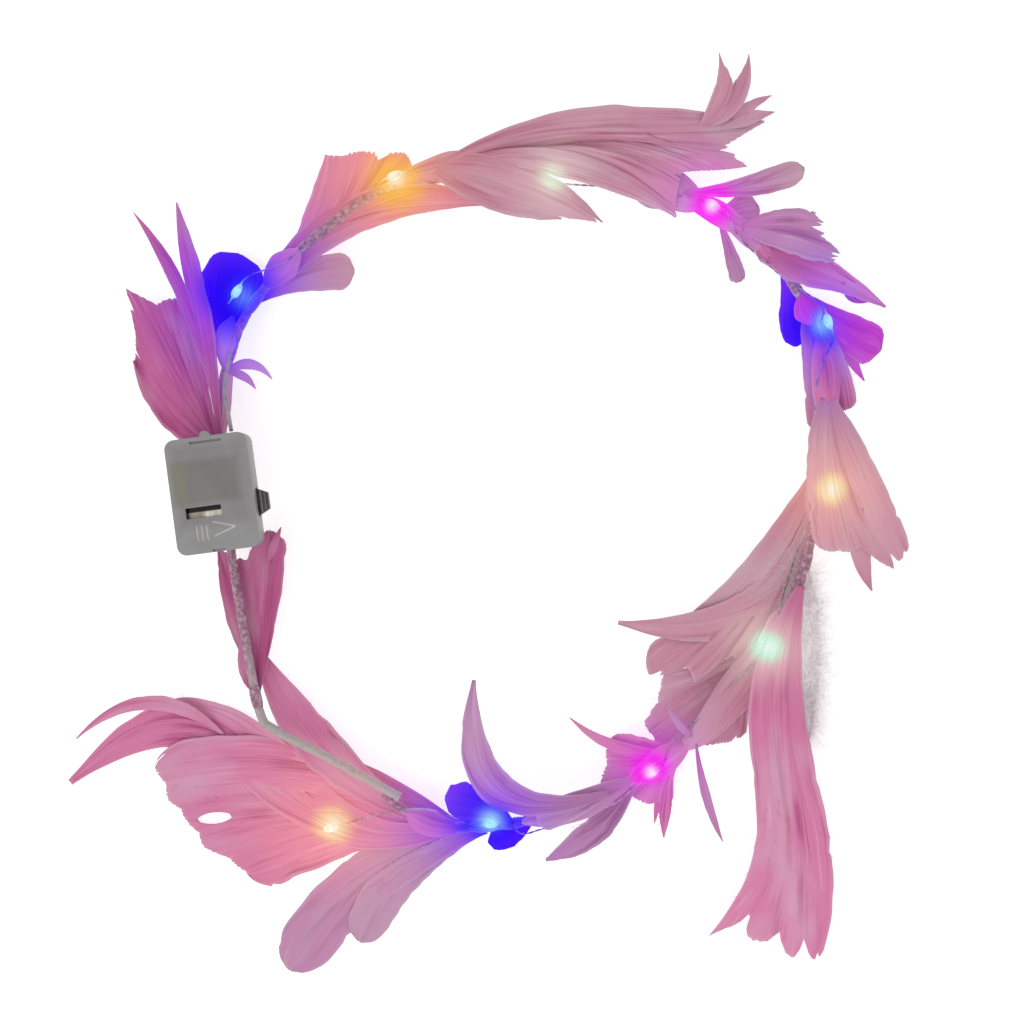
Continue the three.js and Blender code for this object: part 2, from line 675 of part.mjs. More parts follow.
// The origin is the middle of the footprint, on the surface that the crown lies on
design.updateMatrixWorld(true);
const bounds = new THREE.Box3().setFromObject(design, true);
const middle = bounds.getCenter(new THREE.Vector3());
design.position.set(-middle.x, -middle.y, -bounds.min.z);

const crown = new THREE.Group();
crown.add(design);
export default crown;
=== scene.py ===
"""Dresses the light-up feather crown: dyed feathers, a bound ring, a string of lights and a battery box.

Sizes are in millimetres in the plan of the CAD model, and meshes are written in metres.
"""
import logging
import math
from dataclasses import dataclass, field
from enum import Enum
from typing import Any, Sequence

import bmesh
import bpy
import numpy as np
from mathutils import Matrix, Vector


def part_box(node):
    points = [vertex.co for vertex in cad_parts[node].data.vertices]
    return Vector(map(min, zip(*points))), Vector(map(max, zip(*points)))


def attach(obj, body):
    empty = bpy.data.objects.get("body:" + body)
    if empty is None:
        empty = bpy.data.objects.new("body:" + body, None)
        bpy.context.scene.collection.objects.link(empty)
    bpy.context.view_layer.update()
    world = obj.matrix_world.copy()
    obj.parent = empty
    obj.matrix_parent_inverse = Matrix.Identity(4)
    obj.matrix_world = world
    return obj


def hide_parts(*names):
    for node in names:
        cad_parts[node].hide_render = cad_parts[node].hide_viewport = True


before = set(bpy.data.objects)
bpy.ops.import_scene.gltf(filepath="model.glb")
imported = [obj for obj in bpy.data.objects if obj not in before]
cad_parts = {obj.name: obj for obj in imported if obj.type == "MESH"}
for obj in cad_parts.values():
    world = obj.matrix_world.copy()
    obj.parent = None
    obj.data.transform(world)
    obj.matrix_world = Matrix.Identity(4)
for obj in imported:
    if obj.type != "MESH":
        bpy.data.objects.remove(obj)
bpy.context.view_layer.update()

log = logging.getLogger("feather_crown")

MM = 0.001
BODY = "crown"
SEED = 417

Array = np.ndarray
Rgb = tuple[float, float, float]


def linear(colour: str) -> Rgb:
    """Turns an sRGB hex colour into linear light.

    Args:
        colour: The colour as "#rrggbb".

    Returns:
        Red, green and blue from 0 to 1.
    """
    shares = [int(colour[i:i + 2], 16) / 255 for i in (1, 3, 5)]
    red, green, blue = (c / 12.92 if c <= 0.04045 else ((c + 0.055) / 1.055) ** 2.4 for c in shares)
    return red, green, blue


def add_node(tree: bpy.types.NodeTree, kind: str, feeds: dict[Any, Any] | None = None,
             stops: Sequence[tuple[float, str]] = (), **settings: Any) -> bpy.types.Node:
    """Adds a node with its settings, and fills or links its sockets.

    Args:
        tree: The node tree of the material.
        kind: Blender's name of the node type.
        feeds: For each input, by name or number, a value or the socket that feeds it.
        stops: Place and hex colour of each stop, for a colour ramp.
        settings: The node's own properties.

    Returns:
        The new node.
    """
    node = tree.nodes.new(kind)
    for key, value in settings.items():
        setattr(node, key, value)
    for key, value in (feeds or {}).items():
        if isinstance(value, bpy.types.NodeSocket):
            tree.links.new(value, node.inputs[key])
        else:
            node.inputs[key].default_value = value
    for number, (place, colour) in enumerate(stops):
        elements = node.color_ramp.elements
        stop = elements[number] if number < len(elements) else elements.new(place)
        stop.position, stop.color = place, (*linear(colour), 1)
    return node


class Finish:
    """A material that is laid out in nodes."""

    def make(self, name: str) -> bpy.types.Material:
        """Makes the material.

        Args:
            name: The material's name.

        Returns:
            The material.
        """
        material = bpy.data.materials.new(name)
        material.use_nodes = True
        tree = material.node_tree
        tree.nodes.clear()
        shader = self.dress(tree)
        add_node(tree, "ShaderNodeOutputMaterial", {"Surface": shader.outputs[0]})
        return material

    def dress(self, tree: bpy.types.NodeTree) -> bpy.types.Node:
        """Adds the nodes of the finish.

        Args:
            tree: The material's node tree.

        Returns:
            The shader.
        """
        raise NotImplementedError


class Side(Enum):
    """Whether a feather is bound over or under the ring."""

    OVER = 1
    UNDER = -1


# Steps along an outline, and how many of them its corners are eased over
OUTLINE_STEPS = 161
OUTLINE_EASE = 9
# Shares of the length from which a round end is held wide, and from which it closes
HELD_FROM = 0.85
ROUND_FROM = 0.86


class Outline(Enum):
    """Share of a vane's full width at each share of its length."""

    BLADE = ((0, 0.14), (0.2, 0.5), (0.5, 1), (0.75, 0.8), (0.9, 0.42), (1, 0.04))
    PADDLE = ((0, 0.12), (0.3, 0.5), (0.65, 0.92), (0.85, 1), (0.95, 0.75), (1, 0.35))
    FAN = ((0, 0.12), (0.3, 0.45), (0.65, 0.85), (0.9, 1), (1, 0.75))
    OAR = ((0, 0.26), (0.2, 0.7), (0.45, 0.94), (0.7, 1), (0.9, 0.78), (1, 0.3))
    SPOON = ((0, 0.26), (0.2, 0.7), (0.45, 0.96), (0.8, 1), (0.94, 0.84), (1, 0.4))
    PETAL = ((0, 0.14), (0.3, 0.6), (0.55, 1), (0.8, 0.95), (0.95, 0.6), (1, 0.25))
    SICKLE = ((0, 0.5), (0.2, 0.92), (0.5, 1), (0.75, 0.74), (0.9, 0.38), (1, 0.04))
    SKIRT = ((0, 0.34), (0.2, 0.74), (0.5, 0.92), (0.9, 1), (1, 0.75))
    THORN = ((0, 0.5), (0.2, 0.95), (0.4, 0.82), (0.6, 0.5), (0.8, 0.32), (1, 0.04))
    WISP = ((0, 0.16), (0.25, 0.85), (0.45, 1), (0.7, 0.72), (0.88, 0.36), (1, 0.05))

    def share(self, along: Array) -> Array:
        """Width share at shares of the length, with the corners of the outline eased.

        Args:
            along: Shares of the length, from 0 to 1.

        Returns:
            The share of the full width at each.
        """
        places, widths = zip(*self.value)
        steps = np.linspace(0, 1, OUTLINE_STEPS)
        line = np.interp(steps, places, widths)
        if self.round:
            line = np.where(steps > HELD_FROM, np.interp(HELD_FROM, places, widths), line)
        padded = np.pad(line, OUTLINE_EASE, mode="edge")
        window = 2 * OUTLINE_EASE + 1
        soft = np.convolve(padded, np.full(window, 1 / window), "valid")
        if self.round:
            closed = np.maximum(steps - ROUND_FROM, 0) / (1 - ROUND_FROM)
            soft = soft * np.sqrt(np.clip(1 - closed ** 2, 0.01, 1))
        return np.interp(along, steps, soft)

    @property
    def round(self) -> bool:
        """Whether the vane ends in a whole round edge."""
        return self in (Outline.PADDLE, Outline.PETAL, Outline.SPOON)

    @property
    def pointed(self) -> bool:
        """Whether the vane ends in a point."""
        return self in (Outline.BLADE, Outline.SICKLE, Outline.THORN, Outline.WISP)

    @property
    def blunt(self) -> bool:
        """Whether the vane ends in a torn edge and not in a point."""
        return self in (Outline.FAN, Outline.OAR, Outline.SKIRT)


@dataclass(frozen=True)
class Tints:
    """Colours of one dye lot, from the root's deep streaks to the pale thin edges."""

    slot: str
    deep: str
    body: str
    pale: str
    edge: str
    gloss: float = 0.2


class Dye(Enum):
    """Dye lots of the feathers."""

    ROSE = Tints("rose_feather", "#ad4f7e", "#d07aa2", "#dc9dbb", "#cfacbf")
    FUCHSIA = Tints("rose_feather", "#93366a", "#b65a88", "#cd86a6", "#c59ab0")
    MAUVE = Tints("mauve_feather", "#a9657f", "#c58b9f", "#d3a8b6", "#c9b2bc")
    VIOLET = Tints("violet_feather", "#98608f", "#bb83b0", "#cfa6c8", "#c6b0c6")
    ASH_ROSE = Tints("rose_feather", "#96687c", "#b68c9e", "#c4a3b2", "#bcaab3")
    LILAC = Tints("mauve_feather", "#a5678f", "#c088ac", "#cba3bd", "#c0adba")
    MAGENTA = Tints("violet_feather", "#a024ac", "#c63fca", "#d468d6", "#c480c8")
    INDIGO = Tints("violet_feather", "#4a2a9a", "#6a3cc0", "#8a5cd8", "#9a6cd8", 0.01)
    DOWN = Tints("grey_down", "#e4d9df", "#ece4e8", "#f1ebee", "#f1ecee")


@dataclass(frozen=True)
class LightTints:
    """Colours and reach of one light: its white-hot heart, its core and its halo."""

    slot: str
    heart: str
    core: str
    halo: str
    heart_mm: float
    core_mm: float
    halo_mm: float
    halo_power: float


class Light(Enum):
    """Colours of the lights on the string."""

    BLUE = LightTints("blue_light", "#a8ecff", "#2000ff", "#7a1cff", 3.2, 10, 20, 0.8)
    AMBER = LightTints("warm_light", "#fff8dc", "#ffba42", "#ffa676", 3.0, 7.6, 17, 0.64)
    WARM = LightTints("warm_light", "#fff9e4", "#ffdc98", "#ffb9a2", 2.6, 5.0, 15, 0.5)
    PEACH = LightTints("warm_light", "#fffbe0", "#ffc890", "#ff9c94", 3.0, 5.0, 18, 0.55)
    CREAM = LightTints("green_light", "#f4fff0", "#e2efd4", "#ecd9cc", 2.0, 4.6, 9, 0.5)
    GREEN = LightTints("green_light", "#f4fff8", "#a0eec8", "#f4e2d0", 3.0, 4.6, 10, 0.55)
    PINK = LightTints("pink_light", "#ffe6ff", "#ff0cf6", "#d848ee", 1.8, 7.0, 15, 0.55)


# Route of the ring, from its visible cut end to its hidden one
RING_ROWS = (
    # bearing in degrees, distance from the middle, height
    (246, 96, 17.2), (231, 97.5, 15.6), (221, 103, 13.8), (217, 103.5, 13.2), (206, 96.5, 13),
    (189, 92.5, 13), (174, 94.5, 13), (160, 100, 13), (147, 106, 13), (131, 107.5, 13),
    (114, 109.5, 13), (99, 109.5, 13), (84, 107, 13), (68, 109, 13), (52, 110, 13),
    (38, 108, 13), (25, 102, 13), (8, 92.5, 13), (-12, 87.5, 13), (-30, 85.5, 13),
    (-52, 87, 13), (-74, 90.5, 13), (-91, 96, 13), (-105, 101, 13), (-112, 100, 12.7),
    (-117, 98, 12.4),
)

# Route of the light wire beside the ring, and the lights on it
STRING_ROWS = (
    # bearing on the ring, out from it, up from it, light
    (142.3, 5.6, 4.4, Light.BLUE), (134, 0, 3.8, None), (122, -2, 3, None),
    (111.6, 1.6, 4.4, Light.AMBER), (107.4, -3.2, 1.6, None), (103, -4, 0, None), (96, -4, 0, None),
    (85.5, -4.6, 0, Light.CREAM), (74, -3.6, 0.4, None), (66, -2.6, 2.8, None),
    (59, 0.6, 5, Light.PINK), (53, -2.6, 2.8, None), (44, -2.6, 2.8, None),
    (32.6, 3.6, 4.6, Light.BLUE), (25, -2.6, 2.4, None), (20, -3.6, 0.4, None),
    (13, -3.4, 0.8, None), (9, -2.6, 3.4, None),
    (4.4, 2, 4.4, Light.WARM), (-3, -2.4, 2.6, None), (-15, -3.6, 0.4, None), (-22, -2.6, 2.4, None),
    (-29.5, -0.8, 4, Light.GREEN), (-38, -2.6, 2.6, None), (-50, -3.6, 0.6, None), (-58, -3.4, 1.6, None),
    (-64.2, 0.4, 4.4, Light.PINK), (-72, 3.6, 0.4, None), (-80, 3.6, 0.4, None), (-88, 3.6, 0.4, None),
    (-91.2, 3.2, 2.6, None), (-96, -1.8, 6, Light.BLUE),
)
# Degrees each way over which the wire runs straight at a light, and a light's length
LIGHT_STRAIGHT = 2.4
LED_LONG = 5.0

# Free end of the string across the big fan, and the last light on it
FREE_END_ROWS = ((-30, -91.5, 17), (-41, -92.5, 14), (-50, -95, 11), (-55.5, -96.9, 9.6))
LAST_LIGHT = (-61.2, -98.7, 9.0)
LAST_TOWARD = 197.5

# Lead from the end of the box to the string
LEAD_ROWS = (
    (-90, 24.6, 22.4), (-91, 30, 22), (-92.4, 37, 20.6), (-91.8, 43.5, 19.4), (-91, 50, 18.4),
    (-90.8, 56, 17.6),
)

# Battery box: its place in plan, its turn, and the coin cell's middle in the box's own frame
BOX_PLACE = (-94.9, 5.5, 18.0)
BOX_TURN = 7.6
CELL_MIDDLE = (0.0, -4.6, 6.7)


def turned(point: Sequence[float], degrees: float) -> Array:
    """Turns a point about +Z.

    Args:
        point: The point, in three numbers.
        degrees: The turn, anticlockwise from above.

    Returns:
        The turned point.
    """
    cos, sin = math.cos(math.radians(degrees)), math.sin(math.radians(degrees))
    return np.array([point[0] * cos - point[1] * sin, point[0] * sin + point[1] * cos, point[2]])


def plan_shift() -> Array:
    """Where the plan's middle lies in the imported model, read from the coin cell, in millimetres."""
    low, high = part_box("coin_cell")
    middle = np.array((low + high) / 2) / MM
    return middle - np.array(BOX_PLACE) - turned(CELL_MIDDLE, BOX_TURN)


SHIFT = plan_shift()


@dataclass(frozen=True)
class Spline:
    """A smooth line through points; power 0 spaces its knots evenly and 0.25 is centripetal."""

    points: Array
    power: float
    # Steps in each row for measuring its length
    fine: int = 40

    def at(self, shares: Array) -> Array:
        """Points on the line.

        Args:
            shares: Shares of the way, counted in rows.

        Returns:
            One point for each share.
        """
        rows = self.points
        padded = np.vstack([2 * rows[0] - rows[1], rows, 2 * rows[-1] - rows[-2]])
        last = len(rows) - 1
        way = np.clip(np.asarray(shares, float), 0, 1) * last
        row = np.minimum(way.astype(int), last - 1)
        w = (way - row)[:, None]
        p0, p1, p2, p3 = (padded[row + k] for k in range(4))
        gap = [np.maximum(((b - a) ** 2).sum(1) ** self.power, 1e-4)[:, None]
               for a, b in ((p0, p1), (p1, p2), (p2, p3))]
        leave = (p1 - p0) / gap[0] - (p2 - p0) / (gap[0] + gap[1]) + (p2 - p1) / gap[1]
        reach = (p2 - p1) / gap[1] - (p3 - p1) / (gap[1] + gap[2]) + (p3 - p2) / gap[2]
        leave, reach = leave * gap[1], reach * gap[1]
        bend = 2 * p1 - 2 * p2 + leave + reach
        return p1 + leave * w + (3 * (p2 - p1) - 2 * leave - reach) * w ** 2 + bend * w ** 3

    def even(self, count: int) -> Array:
        """Points at even distances along the line.

        Args:
            count: How many points.

        Returns:
            The points.
        """
        fine = np.linspace(0, 1, self.fine * len(self.points))
        way = way_along(self.at(fine))
        return self.at(np.interp(np.linspace(0, way[-1], count), way, fine))


def way_along(path: Array) -> Array:
    """Distance along a path at each of its points."""
    return np.concatenate([[0], np.cumsum(np.linalg.norm(np.diff(path, axis=0), axis=1))])


def length(path: Array) -> float:
    """Length of a path."""
    return np.linalg.norm(np.diff(path, axis=0), axis=1).sum()


def unit(vectors: Array) -> Array:
    """Vectors of length 1."""
    return vectors / np.maximum(np.linalg.norm(vectors, axis=-1, keepdims=True), 1e-9)


def plan(bearing: float, out: float, up: float) -> Array:
    """A point of the plan from its bearing, distance and height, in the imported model's place."""
    angle = math.radians(bearing)
    return np.array([out * math.cos(angle), out * math.sin(angle), up]) + SHIFT


RING = Spline(np.array([plan(*row) for row in RING_ROWS]), 0.0)
# Bearing of each row of the ring, and its share of the way
RING_BEARINGS = np.array([row[0] for row in RING_ROWS], float)
RING_SHARES = np.arange(len(RING_ROWS)) / (len(RING_ROWS) - 1)


def ring_share(bearing: float) -> float:
    """Share of the way along the ring at a bearing."""
    return float(np.interp(-bearing, -RING_BEARINGS, RING_SHARES))


def beside(bearing: float, out: float, up: float) -> Array:
    """A point beside the ring.

    Args:
        bearing: The bearing on the ring, in degrees.
        out: How far out of the ring.
        up: How far above the ring wire's middle.

    Returns:
        The point.
    """
    step = 1e-4
    before, point, after = RING.at(ring_share(bearing) + np.array([-step, 0, step]))
    along = unit(after - before)
    return point + unit(np.array([-along[1], along[0], 0])) * out + np.array([0, 0, up])


@dataclass
class LitPoint:
    """One light on the string: its middle, the way its wire runs, and its colour."""

    middle: Array
    along: Array
    light: Light


def string_route() -> tuple[Array, list[LitPoint]]:
    """Route of the light string.

    Returns:
        The points that the wire follows, and the lights on it.
    """
    route: list[Array] = []
    lights: list[LitPoint] = []

    def add_light(before: Array, after: Array, light: Light) -> None:
        """Puts a light on a straight stretch of the wire."""
        middle = (before + after) / 2
        lights.append(LitPoint(middle, unit(after - before), light))
        route.extend([before, middle, after])

    for bearing, out, up, light in STRING_ROWS:
        if light:
            ends = (beside(bearing + turn, out, up) for turn in (LIGHT_STRAIGHT, -LIGHT_STRAIGHT))
            add_light(*ends, light)
        else:
            route.append(beside(bearing, out, up))
    route.extend(np.array(row) + SHIFT for row in FREE_END_ROWS)
    middle = np.array(LAST_LIGHT) + SHIFT
    ahead = turned((LED_LONG / 2, 0, 0), LAST_TOWARD)
    add_light(middle - ahead, middle + ahead, Light.PEACH)
    return np.array(route), lights


STRING_POINTS, LIGHTS = string_route()

# Light goes up through the barbs further than across them
GLOW_AXES = (1, 1, 0.35)
# How much of a point's own colour a full halo drowns, and the brightest glow
HALO_DROWNS = 0.8
GLOW_MOST = 1.6


def glow_at(points: Array, reach: float) -> Array:
    """Light that the string throws on what is near it.

    Args:
        points: Points in millimetres.
        reach: How far the light goes in this piece, against a common feather.

    Returns:
        Red, green and blue of the glow at each point, and the share of the point's own colour it drowns.
    """
    glow = np.zeros((len(points), 4))
    for lit in LIGHTS:
        tints = lit.light.value
        far = np.linalg.norm((points - lit.middle) * GLOW_AXES, axis=1)
        heart = np.exp(-(far / tints.heart_mm) ** 2)
        far = far / reach
        core = np.exp(-(far / tints.core_mm) ** 4)
        halo = tints.halo_power * np.exp(-(far / tints.halo_mm) ** 2) * (1 - core)
        for power, colour in ((heart, tints.heart), (core * (1 - heart), tints.core), (halo, tints.halo)):
            glow[:, :3] += power[:, None] * np.array(linear(colour))
        glow[:, 3] += core + HALO_DROWNS * halo
    return np.clip(glow, 0, [GLOW_MOST, GLOW_MOST, GLOW_MOST, 1])


class Shell:
    """Collects the vertices, faces and named values of one mesh."""

    def __init__(self) -> None:
        """Starts an empty shell."""
        self.points: list[Array] = []
        self.barbs: list[Array] = []
        self.looks: list[Array] = []
        self.faces: list[Array] = []
        self.slots: list[Array] = []
        self.count = 0

    def add(self, points: Array, faces: Sequence[Array], barb: Array | None = None,
            look: Array | None = None, slot: int = 0) -> None:
        """Adds one closed body.

        Args:
            points: Its vertices in millimetres.
            faces: Arrays of faces, each with one number of corners.
            barb: For each vertex, millimetres across and along the barbs, and a number for the lock.
            look: For each vertex, shares along and across, and a tone that also carries painted shade in
                creases.
            slot: Which of the piece's materials it takes.
        """
        size = len(points)
        self.points.append(points)
        self.barbs.append(np.zeros((size, 3)) if barb is None else barb)
        self.looks.append(np.zeros((size, 3)) if look is None else look)
        for group in faces:
            self.faces.append(group + self.count)
            self.slots.append(np.full(len(group), slot))
        self.count += size

    def piece(self, name: str, materials: Sequence[bpy.types.Material],
              reach: float = 1.0) -> bpy.types.Object:
        """Makes the mesh object, riding on the crown.

        Args:
            name: The piece's name.
            materials: Its materials, in the order of the slots.
            reach: How far the lights reach in it.

        Returns:
            The object.
        """
        points = np.concatenate(self.points)
        mesh = bpy.data.meshes.new(name)
        mesh.vertices.add(len(points))
        mesh.vertices.foreach_set("co", (points * MM).astype(np.float32).ravel())
        sizes = np.concatenate([np.full(len(f), f.shape[1]) for f in self.faces])
        corners = np.concatenate([f.ravel() for f in self.faces]).astype(np.int32)
        mesh.loops.add(len(corners))
        mesh.loops.foreach_set("vertex_index", corners)
        mesh.polygons.add(len(sizes))
        starts = np.concatenate([[0], np.cumsum(sizes)[:-1]]).astype(np.int32)
        mesh.polygons.foreach_set("loop_start", starts)
        mesh.polygons.foreach_set("material_index", np.concatenate(self.slots).astype(np.int32))
        mesh.polygons.foreach_set("use_smooth", np.ones(len(sizes), bool))
        mesh.update(calc_edges=True)
        values = (("barb", "FLOAT_VECTOR", "vector", np.concatenate(self.barbs)),
                  ("look", "FLOAT_VECTOR", "vector", np.concatenate(self.looks)),
                  ("glow", "FLOAT_COLOR", "color", glow_at(points, reach)))
        for key, kind, field_name, data in values:
            layer = mesh.attributes.new(key, kind, "POINT")
            layer.data.foreach_set(field_name, data.astype(np.float32).ravel())
        for material in materials:
            mesh.materials.append(material)
        piece = bpy.data.objects.new(name, mesh)
        bpy.context.scene.collection.objects.link(piece)
        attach(piece, BODY)
        return piece


# A direction near +Z that no path here follows, from which a body's sides are set out
NEARLY_UP = np.array([0.02, 0.05, 1.0])


def tube_body(path: Array, radii: Array, sides: int) -> tuple[Array, list[Array]]:
    """A closed round body along a path.

    Args:
        path: Points of its middle line.
        radii: Its radius at each point, or at each point and side.
        sides: How many sides it has.

    Returns:
        Its vertices and its faces.
    """
    count = len(path)
    along = unit(np.gradient(path, axis=0))
    across = unit(np.cross(along, NEARLY_UP))
    above = np.cross(across, along)
    angles = np.linspace(0, 2 * math.pi, sides, endpoint=False)
    ring = np.cos(angles)[None, :, None] * across[:, None] + np.sin(angles)[None, :, None] * above[:, None]
    reach = radii[:, None, None] if radii.ndim == 1 else radii[:, :, None]
    points = (path[:, None] + ring * reach).reshape(-1, 3)
    i, j = np.meshgrid(np.arange(count - 1), np.arange(sides), indexing="ij")
    k = (j + 1) % sides
    row, after = i * sides, (i + 1) * sides
    walls = np.stack([row + j, row + k, after + k, after + j], -1).reshape(-1, 4)
    caps = np.array([np.arange(sides)[::-1], (count - 1) * sides + np.arange(sides)])
    return points, [walls, caps]


def strands_body(paths: Array, root: float, tip: float) -> tuple[Array, list[Array]]:
    """Many three-sided strands that taper to their tips.

    Args:
        paths: Points of each strand, strand by strand.
        root: Their radius at the root.
        tip: Their radius at the tip.

    Returns:
        Their vertices and their faces.
    """
    number, count, _ = paths.shape
    along = unit(np.gradient(paths, axis=1))
    slanting = np.array([0.31, 0.22, 0.9])
    across = unit(np.cross(along, slanting))
    above = np.cross(across, along)
    radius = np.linspace(root, tip, count)[None, :, None, None]
    angles = np.radians([90, 210, 330])
    ring = (np.cos(angles)[None, None, :, None] * across[:, :, None]
            + np.sin(angles)[None, None, :, None] * above[:, :, None])
    points = (paths[:, :, None] + ring * radius).reshape(-1, 3)
    base = (np.arange(number) * count * 3)[:, None, None]
    i, j = np.meshgrid(np.arange(count - 1), np.arange(3), indexing="ij")
    k = (j + 1) % 3
    wall = np.stack([i * 3 + j, i * 3 + k, (i + 1) * 3 + k, (i + 1) * 3 + j], -1).reshape(1, -1, 4)
    caps = np.array([[2, 1, 0], (count - 1) * 3 + np.arange(3)])[None]
    return points, [(wall + base).reshape(-1, 4), (caps + base).reshape(-1, 3)]


def sheet_body(middle: Array, above: Array, thick: Array,
               slit: tuple[int, int, int] | None = None) -> tuple[Array, list[Array]]:
    """A closed thin sheet over a grid.

    Args:
        middle: Grid of points, along by across.
        above: The way up at each.
        thick: The thickness at each.
        slit: First row, last row and column of a strip that is left open.

    Returns:
        Its vertices, upper ones first, and its faces.
    """
    rows, columns = middle.shape[:2]
    lift = above * (thick / 2)[..., None]
    points = np.concatenate([(middle + lift).reshape(-1, 3), (middle - lift).reshape(-1, 3)])
    number = np.arange(rows * columns).reshape(rows, columns)
    under = rows * columns
    top = np.stack([number[:-1, :-1], number[1:, :-1], number[1:, 1:], number[:-1, 1:]], -1)
    closed = np.ones((rows - 1, columns - 1), bool)
    edges = [number[::-1, 0], number[:, -1], number[0, :], number[-1, ::-1]]
    if slit:
        first, last, column = slit
        closed[first:last, column] = False
        hole = number[first:last + 1, column:column + 2]
        edges += [hole[:, 0], hole[::-1, 1], hole[0, ::-1], hole[-1, :]]
    top = top[closed]
    rims = []
    for edge in edges:
        a, b = edge[:-1], edge[1:]
        rims.append(np.stack([a, b, b + under, a + under], -1))
    return points, [top, top[:, ::-1] + under, *rims]


def both_sides(values: Array) -> Array:
    """Values of a sheet's grid, for its upper points and again for its lower ones."""
    return np.tile(values.reshape(-1, 3), (2, 1))


class Waves:
    """A few seeded waves that together make an irregular line."""

    def __init__(self, rng: np.random.Generator, low: float, high: float, count: int) -> None:
        """Draws the waves.

        Args:
            rng: The seeded source.
            low: The longest wave, as waves in the whole width.
            high: The shortest wave.
            count: How many waves.
        """
        self.often = rng.uniform(low, high, count)
        self.start = rng.uniform(0, 2 * math.pi, count)
        self.drift = rng.uniform(-1.2, 1.2, count)
        self.share = 1 / np.sqrt(count)

    def at(self, across: Array, along: Array) -> Array:
        """Height of the waves, mostly between -1 and 1.

        Args:
            across: Shares of the width, from -1 to 1.
            along: Shares of the length.

        Returns:
            The height at each.
        """
        total = np.zeros(np.broadcast(across, along).shape)
        for often, start, drift in zip(self.often, self.start, self.drift):
            total = total + np.sin(math.pi * often * across + start + drift * along)
        return total * self.share


@dataclass(frozen=True)
class Vane:
    """One vane or split tip of a feather, on the lines of the CAD model's."""

    start: float
    toward: float
    reach: float
    bow: float
    sway: float
    outline: Outline
    wide: float
    tip_up: float
    arch: float

    def line(self, root: Array, along: Array) -> Array:
        """Points of the vane's middle line.

        Args:
            root: Where it starts.
            along: Shares of its length.

        Returns:
            One point for each share.
        """
        angle = math.radians(self.toward)
        ahead = np.array([math.cos(angle), math.sin(angle), 0])
        left = np.array([-ahead[1], ahead[0], 0])
        t = np.asarray(along, float)[..., None]
        hump = 4 * t * (1 - t)
        aside = self.bow * hump + self.sway * np.sin(2 * math.pi * t)
        points = root + ahead * self.reach * t + left * aside
        height = root[2] + (self.tip_up + SHIFT[2] - root[2]) * t + self.arch * hump
        points[..., 2] = height[..., 0]
        return points

    def frame(self, root: Array, along: Array) -> tuple[Array, Array, Array, Array]:
        """Middle line with the ways along, across and above it.

        Args:
            root: Where the vane starts.
            along: Shares of its length.

        Returns:
            Points, and unit vectors along, to the left and above.
        """
        step = 1e-3
        before, after = np.maximum(along - step, 0), np.minimum(along + step, 1)
        ahead = unit(self.line(root, after) - self.line(root, before))
        left = unit(np.stack([-ahead[..., 1], ahead[..., 0], np.zeros_like(ahead[..., 0])], -1))
        return self.line(root, along), ahead, left, unit(np.cross(ahead, left))


class LitFinish(Finish):
    """What the finishes near the lights share: the glow that the string throws on them."""

    def close(self, tree: bpy.types.NodeTree, colour: bpy.types.NodeSocket, height: bpy.types.NodeSocket,
              depth_mm: float, **values: float) -> bpy.types.Node:
        """Adds the shader, with the glow over the surface's own colour.

        Args:
            tree: The node tree of the material.
            colour: The surface's own colour.
            height: The height that the bump follows.
            depth_mm: How deep the bump is.
            values: The shader's uniform values, with _ for a space.

        Returns:
            The shader.
        """
        glow = add_node(tree, "ShaderNodeAttribute", attribute_name="glow")
        own = add_node(tree, "ShaderNodeMix", {
            "Factor": glow.outputs["Alpha"], "A": colour, "B": (0, 0, 0, 1)}, data_type="RGBA")
        bump = add_node(tree, "ShaderNodeBump", {
            "Height": height, "Strength": 0.5, "Distance": depth_mm * MM})
        grain = add_node(tree, "ShaderNodeMapRange", {
            "Value": height, "From Min": 0.3, "From Max": 0.7, "To Min": 0.78, "To Max": 1.1})
        thrown = add_node(tree, "ShaderNodeVectorMath", {0: glow.outputs["Color"], "Scale": grain.outputs[0]},
                          operation="SCALE")
        return add_node(tree, "ShaderNodeBsdfPrincipled", {
            "Base Color": own.outputs[2], "Normal": bump.outputs["Normal"],
            "Emission Color": thrown.outputs[0], "Emission Strength": 1.0,
            **{key.replace("_", " "): value for key, value in values.items()}})


